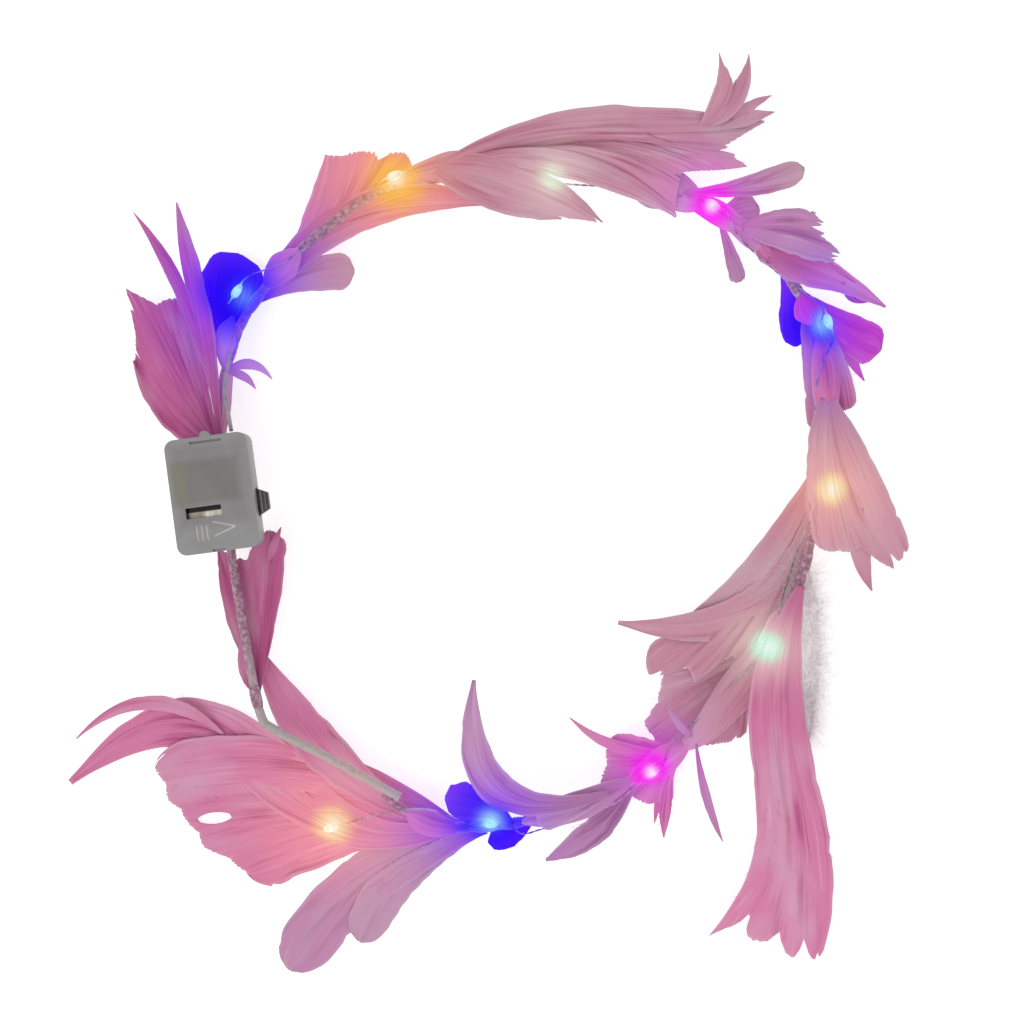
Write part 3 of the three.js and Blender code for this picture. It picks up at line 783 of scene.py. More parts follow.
@dataclass(frozen=True)
class DyedFeather(LitFinish):
    """Goose feather, dip-dyed and combed: silky streaks along the barbs, and grey where it is thin."""

    tints: Tints
    # Barbs are about 0.3 mm apart, under a pixel here, so they are drawn coarser
    barb_mm: float = 0.6
    bundle_mm: float = 2.2
    patch_mm: float = 7.0
    thin_mm: float = 13.0
    ridge_mm: float = 0.1

    def dress(self, tree: bpy.types.NodeTree) -> bpy.types.Node:
        """Adds the nodes of the finish.

        Args:
            tree: The material's node tree.

        Returns:
            The shader.
        """
        barb = add_node(tree, "ShaderNodeAttribute", attribute_name="barb").outputs["Vector"]
        look = add_node(tree, "ShaderNodeAttribute", attribute_name="look").outputs["Vector"]
        shares = add_node(tree, "ShaderNodeSeparateXYZ", {0: look})
        tints = self.tints
        tones = []
        # How wide each pattern is, and how many times longer it is along the barbs
        patterns = ((self.barb_mm, 40), (self.bundle_mm, 18), (self.patch_mm, 4), (self.thin_mm, 2.5))
        for size, stretch in patterns:
            place = add_node(tree, "ShaderNodeMapping", {
                "Vector": barb, "Scale": (1 / size, 1 / (size * stretch), 1.0)})
            tones.append(add_node(tree, "ShaderNodeTexNoise", {
                "Vector": place.outputs[0], "Scale": 1.0, "Detail": 2.0, "Roughness": 0.5}).outputs[0])
        barbs, bundles, patches, sparse = tones
        fine = add_node(tree, "ShaderNodeMix", {"Factor": 0.55, "A": barbs, "B": bundles})
        both = add_node(tree, "ShaderNodeMix", {"Factor": 0.35, "A": fine.outputs[0], "B": patches})
        # The look's third share holds each lock's tone and the painted shade in creases, which turns the
        # colour deeper
        tone = add_node(tree, "ShaderNodeMath", {0: both.outputs[0], 1: shares.outputs["Z"]}, operation="ADD")
        dense = add_node(tree, "ShaderNodeValToRGB", {"Fac": tone.outputs[0]}, stops=(
            (0.34, tints.deep), (0.47, tints.body), (0.56, tints.body), (0.68, tints.pale)))
        # Where the barbs lie sparse, the dye looks grey
        grey = add_node(tree, "ShaderNodeMapRange", {
            "Value": sparse, "From Min": 0.46, "From Max": 0.7, "To Min": 0.0, "To Max": 0.5})
        dyed = add_node(tree, "ShaderNodeMix", {
            "Factor": grey.outputs[0], "A": dense.outputs[0], "B": (*linear(tints.edge), 1)},
            data_type="RGBA")
        # The dye lies deepest in the folds near the root
        root = add_node(tree, "ShaderNodeMapRange", {
            "Value": shares.outputs["X"], "From Min": 0.0, "From Max": 0.45, "To Min": 0.55, "To Max": 0.0})
        rooted = add_node(tree, "ShaderNodeMix", {
            "Factor": root.outputs[0], "A": dyed.outputs[2], "B": (*linear(tints.deep), 1)},
            data_type="RGBA")
        thin = add_node(tree, "ShaderNodeMapRange", {
            "Value": shares.outputs["Y"], "From Min": 0.7, "From Max": 1.0, "To Min": 0.0, "To Max": 0.5})
        edged = add_node(tree, "ShaderNodeMix", {
            "Factor": thin.outputs[0], "A": rooted.outputs[2], "B": (*linear(tints.edge), 1)},
            data_type="RGBA")
        return self.close(tree, edged.outputs[2], barbs, self.ridge_mm, Roughness=0.65,
                          Specular_IOR_Level=tints.gloss, Sheen_Weight=0.2 * tints.gloss, Sheen_Roughness=0.4)


@dataclass(frozen=True)
class FleckedFinish(LitFinish):
    """A plain finish in two tones that mix in small flecks."""

    dark: str
    light: str
    fleck_mm: float
    # Where in the noise the dark tone ends and the light one starts
    turn: tuple[float, float]
    depth_mm: float
    roughness: float
    ior: float = 1.5
    metallic: float = 0.0

    def dress(self, tree: bpy.types.NodeTree) -> bpy.types.Node:
        """Adds the nodes of the finish.

        Args:
            tree: The material's node tree.

        Returns:
            The shader.
        """
        place = add_node(tree, "ShaderNodeTexCoord").outputs["Object"]
        fleck = add_node(tree, "ShaderNodeTexNoise", {"Vector": place, "Scale": 1 / (self.fleck_mm * MM)})
        tones = add_node(tree, "ShaderNodeValToRGB", {"Fac": fleck.outputs[0]},
                         stops=tuple(zip(self.turn, (self.dark, self.light))))
        return self.close(tree, tones.outputs[0], fleck.outputs[0], self.depth_mm,
                          Roughness=self.roughness, IOR=self.ior, Metallic=self.metallic)


# Goose quill, stripped and dyed with its feather: smooth and waxy, paler than the barbs
QUILL = FleckedFinish("#a9688a", "#c993ad", 1.6, (0.35, 0.65), 0.03, roughness=0.42, ior=1.54)
# Copper wire, drawn, silvered and enamelled: thin, bright and a little tarnished
SILVER_WIRE = FleckedFinish("#77696f", "#b3adb3", 3.0, (0.36, 0.62), 0.02, roughness=0.32, metallic=0.7)
# PVC insulation, extruded: smooth with a soft gloss, greyed by handling
SOFT_PVC = FleckedFinish("#7b7779", "#969294", 4.0, (0.38, 0.6), 0.02, roughness=0.38, ior=1.53)
# Epoxy, cast in a drop: glossy and clear, white-hot in the middle when it is lit
RESIN_DROP = FleckedFinish("#cfcace", "#e8e4e6", 1.5, (0.3, 0.7), 0.08, roughness=0.12, ior=1.52)


@dataclass(frozen=True)
class BoundSleeving(LitFinish):
    """Braided glass sleeving, varnished: grey-white, and mottled dark where thread and glue bind it."""

    clean: str = "#a5a09e"
    shade: str = "#9b9593"
    glue: str = "#7d5567"
    thread: str = "#9d6f84"
    silver: str = "#b89aa8"
    mottle_mm: float = 1.3
    depth_mm: float = 0.1

    def dress(self, tree: bpy.types.NodeTree) -> bpy.types.Node:
        """Adds the nodes of the finish.

        Args:
            tree: The material's node tree.

        Returns:
            The shader.
        """
        look = add_node(tree, "ShaderNodeAttribute", attribute_name="look").outputs["Vector"]
        bound = add_node(tree, "ShaderNodeSeparateXYZ", {0: look}).outputs["X"]
        place = add_node(tree, "ShaderNodeTexCoord").outputs["Object"]
        mottle = add_node(tree, "ShaderNodeTexNoise", {
            "Vector": place, "Scale": 1 / (self.mottle_mm * MM), "Detail": 3.0, "Roughness": 0.65}).outputs[0]
        bare = add_node(tree, "ShaderNodeValToRGB", {"Fac": mottle},
                        stops=((0.36, self.shade), (0.52, self.clean)))
        wound = add_node(tree, "ShaderNodeValToRGB", {"Fac": mottle},
                         stops=((0.38, self.glue), (0.5, self.thread), (0.66, self.silver)))
        colour = add_node(tree, "ShaderNodeMix", {
            "Factor": bound, "A": bare.outputs[0], "B": wound.outputs[0]}, data_type="RGBA")
        return self.close(tree, colour.outputs[2], mottle, self.depth_mm, Roughness=0.48, IOR=1.5)


def smooth(share: Array) -> Array:
    """Eases a share from 0 to 1."""
    share = np.clip(share, 0, 1)
    return share * share * (3 - 2 * share)


def spindle(share: Array) -> Array:
    """Swells from nearly 0 to 1 and back over a length."""
    return np.sin(np.pi * (0.02 + 0.96 * share))


# Folds of a sheet of barbs, from its slow waves to the fine ridges of parted barbs
FOLDS = (
    # rise in mm, longest and shortest wave across in mm, how many waves
    (0.42, 26, 11, 3), (0.07, 6.5, 2.8, 5), (0.015, 2.2, 1.0, 6),
)
# Ranges for a crease's drift, depth and width in mm, and for where it starts and ends
CREASE_RANGES = ((-4, 4), (0.15, 0.45), (0.5, 1.2), (0.0, 0.4), (0.7, 1.1))
# Ranges for where an edge is parted, and for the depth and width of the cut, as shares
CUT_RANGES = ((0.4, 0.95), (0.04, 0.16), (0.012, 0.03))
# Ranges for a tear's half width and its depth in mm
TEAR_HALF = (0.4, 1.6)
TEAR_DEEP = (0.8, 4.5)
# Fewest and most rows and columns of a sheet, and rows of a lock
SHEET_ROWS = (10, 100)
SHEET_COLUMNS = (9, 130)
LOCK_ROWS = (10, 70)
# Ranges for a lock's half width in mm, where it starts, how long it is, and how far it stands off in mm
LOCK_HALF = (0.9, 2.2)
LOCK_START = (0.05, 0.45)
LOCK_LONG = (0.35, 0.6)
LOCK_STAND = (0.14, 0.28)
# Fewest and most millimetres of a quill's radius
QUILL_RADII = (0.18, 0.36)


@dataclass(frozen=True)
class Crease:
    """A long crease: its place across, its drift, depth and width, and where it starts and ends."""

    place: float
    drift: float
    deep: float
    wide: float
    start: float
    end: float
    fade: float = 0.2

    def at(self, t: Array, v: Array) -> Array:
        """How deep the sheet lies in the crease."""
        off = (v - self.place - self.drift * (t - 0.5)) / self.wide
        begun, left = smooth((t - self.start) / self.fade), smooth((self.end - t) / self.fade)
        return self.deep * np.exp(-off * off) * begun * left


@dataclass(frozen=True)
class Parting:
    """A slit that opens between the barbs of a sheet, beside one of its vanes."""

    # Which vane of the sheet, counted from the right, and how far to the left of it
    beside: int
    off_mm: float
    # Shares of the length between which the slit runs
    start: float
    end: float
    # How wide it opens, and how far off the barbs are still pushed aside
    open_mm: float
    fade_mm: float = 4.0


@dataclass
class CombedSheet:
    """A thin sheet of barbs, combed along one vane or over neighbours, from the right to the left."""

    vanes: Sequence[Vane]
    roots: Sequence[Array]
    rng: np.random.Generator
    notch_mm: float
    tears: float
    parting: Parting | None = None
    row_mm: float = 1.25
    column_mm: float = 0.42
    thick_mm: float = 0.3
    edge_mm: float = 0.12
    pale_mm: float = 4.0
    # How far barbs slant out from a single vane's quill for each millimetre along it
    slant: float = 0.1
    # Share of the length at which the gaps between the vanes are measured
    measured_at: float = 0.7
    # Millimetres of width for each crease and each lock, and the narrowest sheet with locks
    crease_every: float = 4.0
    lock_every: float = 4.0
    lock_from: float = 7.0
    # Powers that shape the notch between two points, and between blunt ends
    notch_sharp: float = 0.8
    notch_round: float = 2.0
    # How much of its width a blunt end loses at its worn corners
    corner: float = 0.35
    # How far a lock lies sunk, and how much lighter or darker it may be
    lock_sunk: float = 0.12
    lock_shade: float = 0.05

    def __post_init__(self) -> None:
        """Works out where the vanes lie across the sheet, and draws its folds, creases and edges."""
        rng = self.rng
        share = np.array(self.measured_at)
        lines = [vane.line(root, share)[:2] for vane, root in zip(self.vanes, self.roots)]
        gaps = [float(np.linalg.norm(two - one)) for one, two in zip(lines, lines[1:])]
        right, left = self.vanes[0].wide / 2, self.vanes[-1].wide / 2
        self.places = np.cumsum([-right, right, *gaps, left])
        self.wide = self.places[-1] - self.places[0]
        self.reach = max(vane.reach for vane in self.vanes)
        self.seed = rng.uniform(0, 90)
        self.folds = [(rise, Waves(rng, 2 / long, 2 / short, count)) for rise, long, short, count in FOLDS]
        ranges = ((self.places[0], self.places[-1]), *CREASE_RANGES)
        self.creases = [Crease(*(rng.uniform(*span) for span in ranges))
                        for _ in range(int(self.wide / self.crease_every))]
        self.steps = np.linspace(0, 1, 240)
        self.edges = [self.ragged_edge() for _ in range(2)]
        self.across = np.linspace(self.places[0], self.places[-1], 400)
        self.cut = self.hem()

    def ragged_edge(self) -> Array:
        """Share of the outline that one edge keeps along its length, with parted barbs cut into it."""
        rng = self.rng
        s = self.steps
        kept = 1 - 0.02 * (1 + Waves(rng, 3, 11, 5).at(2 * s - 1, 0 * s))
        for _ in range(rng.integers(0, 3)):
            place, deep, wide = (rng.uniform(*span) for span in CUT_RANGES)
            # The side of a cut that faces the root is the longer one
            slope = np.where(s < place, 2.5 * wide, wide)
            kept = kept - deep * np.clip(1 - np.abs(s - place) / slope, 0, 1)
        return np.clip(kept, 0.3, 1.02)

    def hem(self) -> Array:
        """Share of the length that the sheet loses at its end, at each place across."""
        rng, v = self.rng, self.across
        tips = self.places[1:-1]
        lost = np.zeros_like(v)
        for one, two, low, high in zip(self.vanes, self.vanes[1:], tips, tips[1:]):
            share = np.clip((v - low) / (high - low), 0, 1)
            near = 1 - np.abs(2 * share - 1)
            pointed = np.where(share < 0.5, one.outline.pointed, two.outline.pointed)
            lost += self.notch_mm * near ** np.where(pointed, self.notch_sharp, self.notch_round)
        # The corners of a blunt end are worn round
        for vane, off in ((self.vanes[0], tips[0] - v), (self.vanes[-1], v - tips[-1])):
            if vane.outline.blunt:
                share = np.clip(2 * off / vane.wide, 0, 1)
                lost += self.corner * vane.wide * (1 - np.sqrt(1 - 0.96 * share ** 2))
        if len(self.vanes) > 1 or self.vanes[0].outline.blunt:
            for _ in range(int(self.tears * self.wide)):
                place, half = rng.uniform(v[0], v[-1]), rng.uniform(*TEAR_HALF)
                lost += rng.uniform(*TEAR_DEEP) * np.clip(1 - np.abs(v - place) / half, 0, 1)
            lost += 0.25 * (1 + Waves(rng, 1.2, 3, 5).at(v, 0 * v))
        reach = np.interp(v, tips, [vane.reach for vane in self.vanes])
        return np.clip(lost / reach, 0, 0.5)

    def line(self, number: int, t: Array) -> Array:
        """Points along the right edge, one of the vanes or the left edge.

        Args:
            number: Which line, counted from the right edge.
            t: Shares of the length.

        Returns:
            One point for each share.
        """
        last = len(self.vanes)
        k = int(np.clip(number - 1, 0, last - 1))
        points, _, left, _ = self.vanes[k].frame(self.roots[k], t)
        if 0 < number <= last:
            return points
        kept = np.interp(t, self.steps, self.edges[number > 0])
        half = self.vanes[k].wide / 2 * self.vanes[k].outline.share(t) * kept
        return points + left * (half if number else -half)[:, None]

    def surface(self, t: Array, v: Array) -> tuple[Array, Array]:
        """Points of the sheet.

        Args:
            t: Shares of the length.
            v: Millimetres across.

        Returns:
            The points, and how deep each lies in a crease.
        """
        points = np.empty((*t.shape, 3))
        number = np.clip(np.searchsorted(self.places, v, side="right") - 1, 0, len(self.places) - 2)
        for k in range(len(self.places) - 1):
            here = number == k
            share = ((v[here] - self.places[k]) / (self.places[k + 1] - self.places[k]))[:, None]
            points[here] = self.line(k, t[here]) * (1 - share) + self.line(k + 1, t[here]) * share
        # The folds start past the root, and a narrow sheet folds less
        swell = smooth(t / 0.25) * min(1.0, self.wide / 14)
        crease = sum((crease.at(t, v) for crease in self.creases), np.zeros_like(t))
        rise = sum(height * waves.at(v, 3 * t) for height, waves in self.folds) - crease
        points[..., 2] += rise * swell
        return points, crease

    def part(self, t: Array, v: Array, parting: Parting) -> tuple[Array, tuple[int, int, int]]:
        """Opens a slit between two columns of the grid.

        Args:
            t: Grid of shares of the length.
            v: Grid of millimetres across.
            parting: The slit.

        Returns:
            The grid of millimetres across, pushed apart, and the slit's rows and column.
        """
        off = v - (self.places[parting.beside + 1] + parting.off_mm)
        column = int(np.count_nonzero(off[0] < 0)) - 1
        share = (t - parting.start) / (parting.end - parting.start)
        # The power makes the slit's ends round
        opened = np.sin(np.pi * np.clip(share, 0, 1)) ** 0.7 * parting.open_mm / 2
        rows = np.flatnonzero((share[:, column] > 0) & (share[:, column] < 1))
        pushed = v + np.sign(off) * opened * np.exp(-np.abs(off) / parting.fade_mm)
        return pushed, (int(rows[0]), int(rows[-1]), column)

    def add(self, shell: Shell, t: Array, v: Array, edge: Array, stand: Array, shade: float,
            slit: tuple[int, int, int] | None = None) -> None:
        """Adds a closed sheet to a mesh.

        Args:
            shell: The mesh.
            t: Grid of shares of the length.
            v: Grid of millimetres across.
            edge: How near each point is to a thin edge, from 0 to 1.
            stand: How far each point stands off the sheet's own surface.
            shade: Lighter or darker than the rest.
            slit: First row, last row and column of a strip that is left open.
        """
        points, crease = self.surface(t, v)
        # No sheet goes under the floor
        points[..., 2] = np.maximum(points[..., 2] + stand, self.thick_mm / 2 + 0.05)
        above = unit(np.cross(np.gradient(points, axis=0), np.gradient(points, axis=1)))
        above[np.linalg.norm(above, axis=-1) < 0.5] = (0, 0, 1)
        body, faces = sheet_body(points, above, self.thick_mm + (self.edge_mm - self.thick_mm) * edge, slit)
        slant = self.slant * np.sign(v) if len(self.vanes) == 1 else 0 * v
        # The third number sets the streaks of a lock off from those of its sheet
        lot = np.full_like(v, self.seed + 9 * shade)
        barb = np.stack([v - slant * t * self.reach, t * self.reach, lot], -1)
        # A split tip has no root of its own, and the third share takes painted shade that deepens the colour
        # in a crease
        along = t if self.vanes[0].start == 0 else 0.5 + t / 2
        look = np.stack([along, edge, shade - 0.16 * crease], -1)
        shell.add(body, faces, both_sides(barb), both_sides(look))

    def build(self, shell: Shell) -> None:
        """Adds the sheet and the locks of barbs that lie on it."""
        rows = int(np.clip(self.reach / self.row_mm, *SHEET_ROWS))
        columns = int(np.clip(self.wide / self.column_mm, *SHEET_COLUMNS))
        places = np.linspace(self.places[0], self.places[-1], columns)
        s, v = np.meshgrid(np.linspace(0, 1, rows), places, indexing="ij")
        # Rows draw back little by little toward the cut end, so that none of them crowd there
        t = np.clip(s - np.interp(v, self.across, self.cut) * smooth((s - 0.2) / 0.8), 0, 1)
        inside = np.minimum(np.minimum(v - self.places[0], self.places[-1] - v), (1 - s) * self.reach)
        slit = None
        if self.parting:
            v, slit = self.part(t, v, self.parting)
        edge = np.clip(1 - inside / min(self.pale_mm, self.wide / 3), 0, 1)
        self.add(shell, t, v, edge, 0 * t, 0.0, slit)
        if self.wide >= self.lock_from:
            for _ in range(int(np.clip(self.wide / self.lock_every, 0, 8))):
                self.lock(shell)

    def lock(self, shell: Shell) -> None:
        """Adds one lock: one edge and both ends sink into the sheet, and the other edge stands open."""
        rng = self.rng
        half = rng.uniform(*LOCK_HALF)
        middle = rng.uniform(self.places[0] + 1.3 * half, self.places[-1] - 1.3 * half)
        start = rng.uniform(*LOCK_START)
        end = min(start + rng.uniform(*LOCK_LONG), 0.95 - float(np.interp(middle, self.across, self.cut)))
        rows = int(np.clip((end - start) * self.reach / self.row_mm, *LOCK_ROWS))
        s, c = np.meshgrid(np.linspace(0, 1, rows), np.linspace(-1, 1, 13), indexing="ij")
        v = middle + c * half * spindle(s) ** 0.8
        side = rng.choice([-1.0, 1.0])
        ends = smooth(s / 0.3) * smooth((1 - s) / 0.3)
        stand = rng.uniform(*LOCK_STAND) * smooth(0.5 + 0.5 * c * side) * ends - self.lock_sunk
        shade = rng.uniform(-self.lock_shade, self.lock_shade)
        self.add(shell, start + (end - start) * s, v, 0.6 * np.abs(c), stand, shade)

    def quill(self, shell: Shell, number: int, share: float) -> None:
        """Adds the quill along one of the vanes.

        Args:
            shell: The mesh to add it to.
            number: Which vane, counted from the right.
            share: How much of the vane's length it shows.
        """
        t = np.linspace(0.01, share, 48)
        path, _ = self.surface(t, np.full_like(t, self.places[number + 1]))
        radius = float(np.clip(0.012 * self.vanes[number].wide + 0.14, *QUILL_RADII))
        lift = self.thick_mm / 2 + 0.4 * radius
        body, faces = tube_body(path + [0, 0, lift], np.linspace(radius, 0.35 * radius, len(t)), 7)
        shell.add(body, faces, slot=1)


@dataclass(frozen=True)
class Span:
    """Neighbouring vanes that one whole sheet runs over, from the right to the left."""

    vanes: tuple[int, ...]
    # How deep the end is cut in between the vanes, and how many tears it has for each millimetre
    notch_mm: float = 4.0
    tears: float = 0.1
    parting: Parting | None = None


# Stray barbs: how many for each millimetre, where along and across they leave, length and radius in mm
STRAYS_EACH_MM = 0.1
STRAY_AT = (0.55, 0.96)
STRAY_DEPTH = (0.85, 0.97)
STRAY_LONG = (1.0, 2.6)
STRAY_RADIUS = 0.05
# Loose down: where along and across it leaves, its length on a downy feather and on others, its radius
DOWN_AT = (0.02, 0.98)
DOWN_DEPTH = (0.0, 0.95)
DOWN_LONG = (3.5, 11.0)
HAZE_LONG = (2.0, 5.0)
DOWN_RADIUS = 0.022


@dataclass
class Feather:
    """One bound bunch: its vanes and split tips, their quills, stray barbs and the thread that binds them."""

    name: str
    at: float
    side: Side
    dye: Dye
    vanes: tuple[Vane, ...]
    spans: tuple[Span, ...] = ()
    root_lift: float = 2.35
    fluff: int = 0
    lit: float = 1.0
    # Which vane shows its quill, and for how much of its length
    bare_quill: tuple[int, float] | None = None
    # Bearings between which the bunch's barbs lie over the ring
    over_ring: tuple[float, float] | None = None
    # Those barbs: how wide and how high over the wire they lie, how far they hang down at its sides,
    # how thick they are, and the rows and columns of their mesh
    cover_mm: float = 9.0
    cover_up: float = 2.7
    cover_hang: float = 2.6
    cover_thick: float = 0.25
    cover_grid: tuple[int, int] = (60, 21)
    # The binding: its length, its radius, the thread's turns, and the rows and sides of its mesh
    binding_mm: float = 7.0
    binding_out: float = 2.1
    binding_turns: int = 6
    binding_grid: tuple[int, int] = (34, 20)
    rng: np.random.Generator = field(init=False)

    def __post_init__(self) -> None:
        """Seeds the feather's own draws from its bearing."""
        self.rng = np.random.default_rng(SEED + int(10 * (self.at + 360)))

    def roots(self) -> list[Array]:
        """Where each vane starts: on the ring, or on the first vane for a split tip."""
        bound = beside(self.at, 0, self.side.value * self.root_lift)
        return [bound if vane.start == 0 else self.vanes[0].line(bound, np.array(vane.start))
                for vane in self.vanes]

    def all_spans(self) -> list[Span]:
        """The sheets that run over several vanes, and one for each vane that is left."""
        taken = {number for span in self.spans for number in span.vanes}
        return [*self.spans, *(Span((number,)) for number in range(len(self.vanes)) if number not in taken)]

    def strays(self, shell: Shell, vane: Vane, root: Array) -> None:
        """Adds single barbs that have come away from the edges.

        Args:
            shell: The mesh to add them to.
            vane: The vane.
            root: Where the vane starts.
        """
        rng = self.rng
        number = int(vane.reach * STRAYS_EACH_MM) + 1
        t = rng.uniform(*STRAY_AT, number)
        self.strands(shell, vane, root, t, rng.uniform(*STRAY_DEPTH, number), STRAY_LONG, STRAY_RADIUS)

    def down(self, shell: Shell, vane: Vane, root: Array, number: int) -> None:
        """Adds a haze of loose down over a vane.

        Args:
            shell: The mesh to add it to.
            vane: The vane.
            root: Where the vane starts.
            number: How many strands it has.
        """
        rng = self.rng
        t, depth = rng.uniform(*DOWN_AT, number), rng.uniform(*DOWN_DEPTH, number)
        long_mm = DOWN_LONG if self.dye is Dye.DOWN else HAZE_LONG
        self.strands(shell, vane, root, t, depth, long_mm, DOWN_RADIUS, loose=1.0)

    def strands(self, shell: Shell, vane: Vane, root: Array, t: Array, depth: Array,
                long_mm: tuple[float, float], radius_mm: float, loose: float = 0.0) -> None:
        """Adds single barbs.

        Args:
            shell: The mesh to add them to.
            vane: The vane they leave.
            root: Where the vane starts.
            t: Where along the vane each leaves it.
            depth: How far across the vane each leaves it.
            long_mm: Their shortest and longest length.
            radius_mm: Their radius at the root.
            loose: How far they lie every way, from 0 for combed to 1.
        """
        rng = self.rng
        number = len(t)
        side = rng.choice([-1.0, 1.0], number)
        line, ahead, left, above = vane.frame(root, t)
        width = vane.wide / 2 * vane.outline.share(t)
        starts = line + left * (side * depth * width)[:, None]
        long = rng.uniform(*long_mm, number)
        onward = rng.uniform(0.4 - 1.2 * loose, 1.2, number)
        aside = side * rng.uniform(0.8 - 1.5 * loose, 0.8 + 0.4 * loose, number)
        upward = rng.uniform(-0.25, 0.3, number)
        away = unit(ahead * onward[:, None] + left * aside[:, None] + above * upward[:, None])
        curl = 0.7 + 0.6 * loose
        turns = [rng.uniform(-most, most, number)[:, None] for most in (curl, curl, 0.3)]
        bend = left * turns[0] + ahead * turns[1] + above * turns[2]
        share = np.linspace(0, 1, 5)[None, :, None]
        sweep = away[:, None] * share + bend[:, None] * share ** 2 * 0.6
        paths = starts[:, None] + sweep * long[:, None, None]
        # No strand goes under the floor
        paths[..., 2] = np.maximum(paths[..., 2], 0.2)
        body, faces = strands_body(paths, radius_mm, 0.4 * radius_mm)
        look = np.tile([0.8, 0.6, 0.0], (len(body), 1))
        shell.add(body, faces, body * [1, 0.2, 1], look)

    def cover(self, shell: Shell) -> None:
        """Adds the combed barbs that lie over the ring at the bunch's root."""
        if not self.over_ring:
            return
        rows, columns = self.cover_grid
        first, last = (ring_share(bearing) for bearing in self.over_ring)
        path = RING.at(np.linspace(first, last, rows))
        rng = self.rng
        along = unit(np.gradient(path, axis=0))
        out = unit(np.stack([-along[:, 1], along[:, 0], 0 * along[:, 0]], 1))
        s, c = np.meshgrid(np.linspace(0, 1, rows), np.linspace(-1, 1, columns), indexing="ij")
        worn = 1 + 0.06 * Waves(rng, 0.5, 2.5, 4).at(2 * s - 1, c)
        half = self.cover_mm / 2 * worn * spindle(s) ** 0.65
        # The barbs lie over the binding and hang down past the wire on both sides
        up = self.cover_up - self.cover_hang * c * c + 0.1 * Waves(rng, 4, 9, 5).at(c, 3 * s)
        points = path[:, None] + out[:, None] * (half * c)[..., None]
        points[..., 2] += up
        above = np.zeros_like(points)
        above[..., 2] = 1
        body, faces = sheet_body(points[:, ::-1], above, np.full(c.shape, self.cover_thick))
        lot = np.full_like(c, rng.uniform(0, 90))
        barb = np.stack([c * self.cover_mm / 2, s * length(path), lot], -1)[:, ::-1]
        look = np.stack([0.25 + 0.2 * s, np.clip(3 * np.abs(c) - 2, 0, 1), 0 * c], -1)[:, ::-1]
        shell.add(body, faces, both_sides(barb), both_sides(look))

    def binding(self, shell: Shell) -> None:
        """Adds the thread wound over the roots, round the ring."""
        rows, sides = self.binding_grid
        share = ring_share(self.at)
        shares = np.linspace(share - 0.03, share + 0.03, 240)
        fine = RING.at(shares)
        way = way_along(fine)
        steps = np.interp(share, shares, way) + np.linspace(-self.binding_mm / 2, self.binding_mm / 2, rows)
        path = np.stack([np.interp(steps, way, fine[:, k]) for k in range(3)], 1)
        angles = np.linspace(0, 2 * math.pi, sides, endpoint=False)[None, :]
        wound = np.linspace(0, self.binding_turns, rows)[:, None] * 2 * math.pi + angles
        taper = 1 - 0.22 * np.abs(np.linspace(-1, 1, rows)[:, None]) ** 3
        radii = (self.binding_out - 0.3 + 0.05 * np.sin(wound)) * taper
        body, faces = tube_body(path, radii, sides)
        shell.add(body, faces, look=np.tile([1.0, 0, 0], (len(body), 1)), slot=2)

    def build(self, finishes: dict[Dye, bpy.types.Material], quill: bpy.types.Material,
              sleeving: bpy.types.Material) -> bpy.types.Object:
        """Builds the feather and puts it in place of its CAD solid.

        Args:
            finishes: The material of each dye lot.
            quill: The material of the quills.
            sleeving: The material of the binding.

        Returns:
            The piece.
        """
        shell = Shell()
        roots = self.roots()
        for span in self.all_spans() if self.dye is not Dye.DOWN else ():
            sheet = CombedSheet([self.vanes[k] for k in span.vanes], [roots[k] for k in span.vanes], self.rng,
                                span.notch_mm, span.tears, span.parting)
            sheet.build(shell)
            if self.bare_quill and self.bare_quill[0] in span.vanes:
                sheet.quill(shell, span.vanes.index(self.bare_quill[0]), self.bare_quill[1])
        for vane, root in zip(self.vanes, roots):
            if self.dye is not Dye.DOWN:
                self.strays(shell, vane, root)
            self.down(shell, vane, root, self.fluff // len(self.vanes))
        self.cover(shell)
        self.binding(shell)
        name = self.name.replace("feather_", "plume_")
        piece = shell.piece(name, (finishes[self.dye], quill, sleeving), self.lit)
        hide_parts(self.name)
        return piece


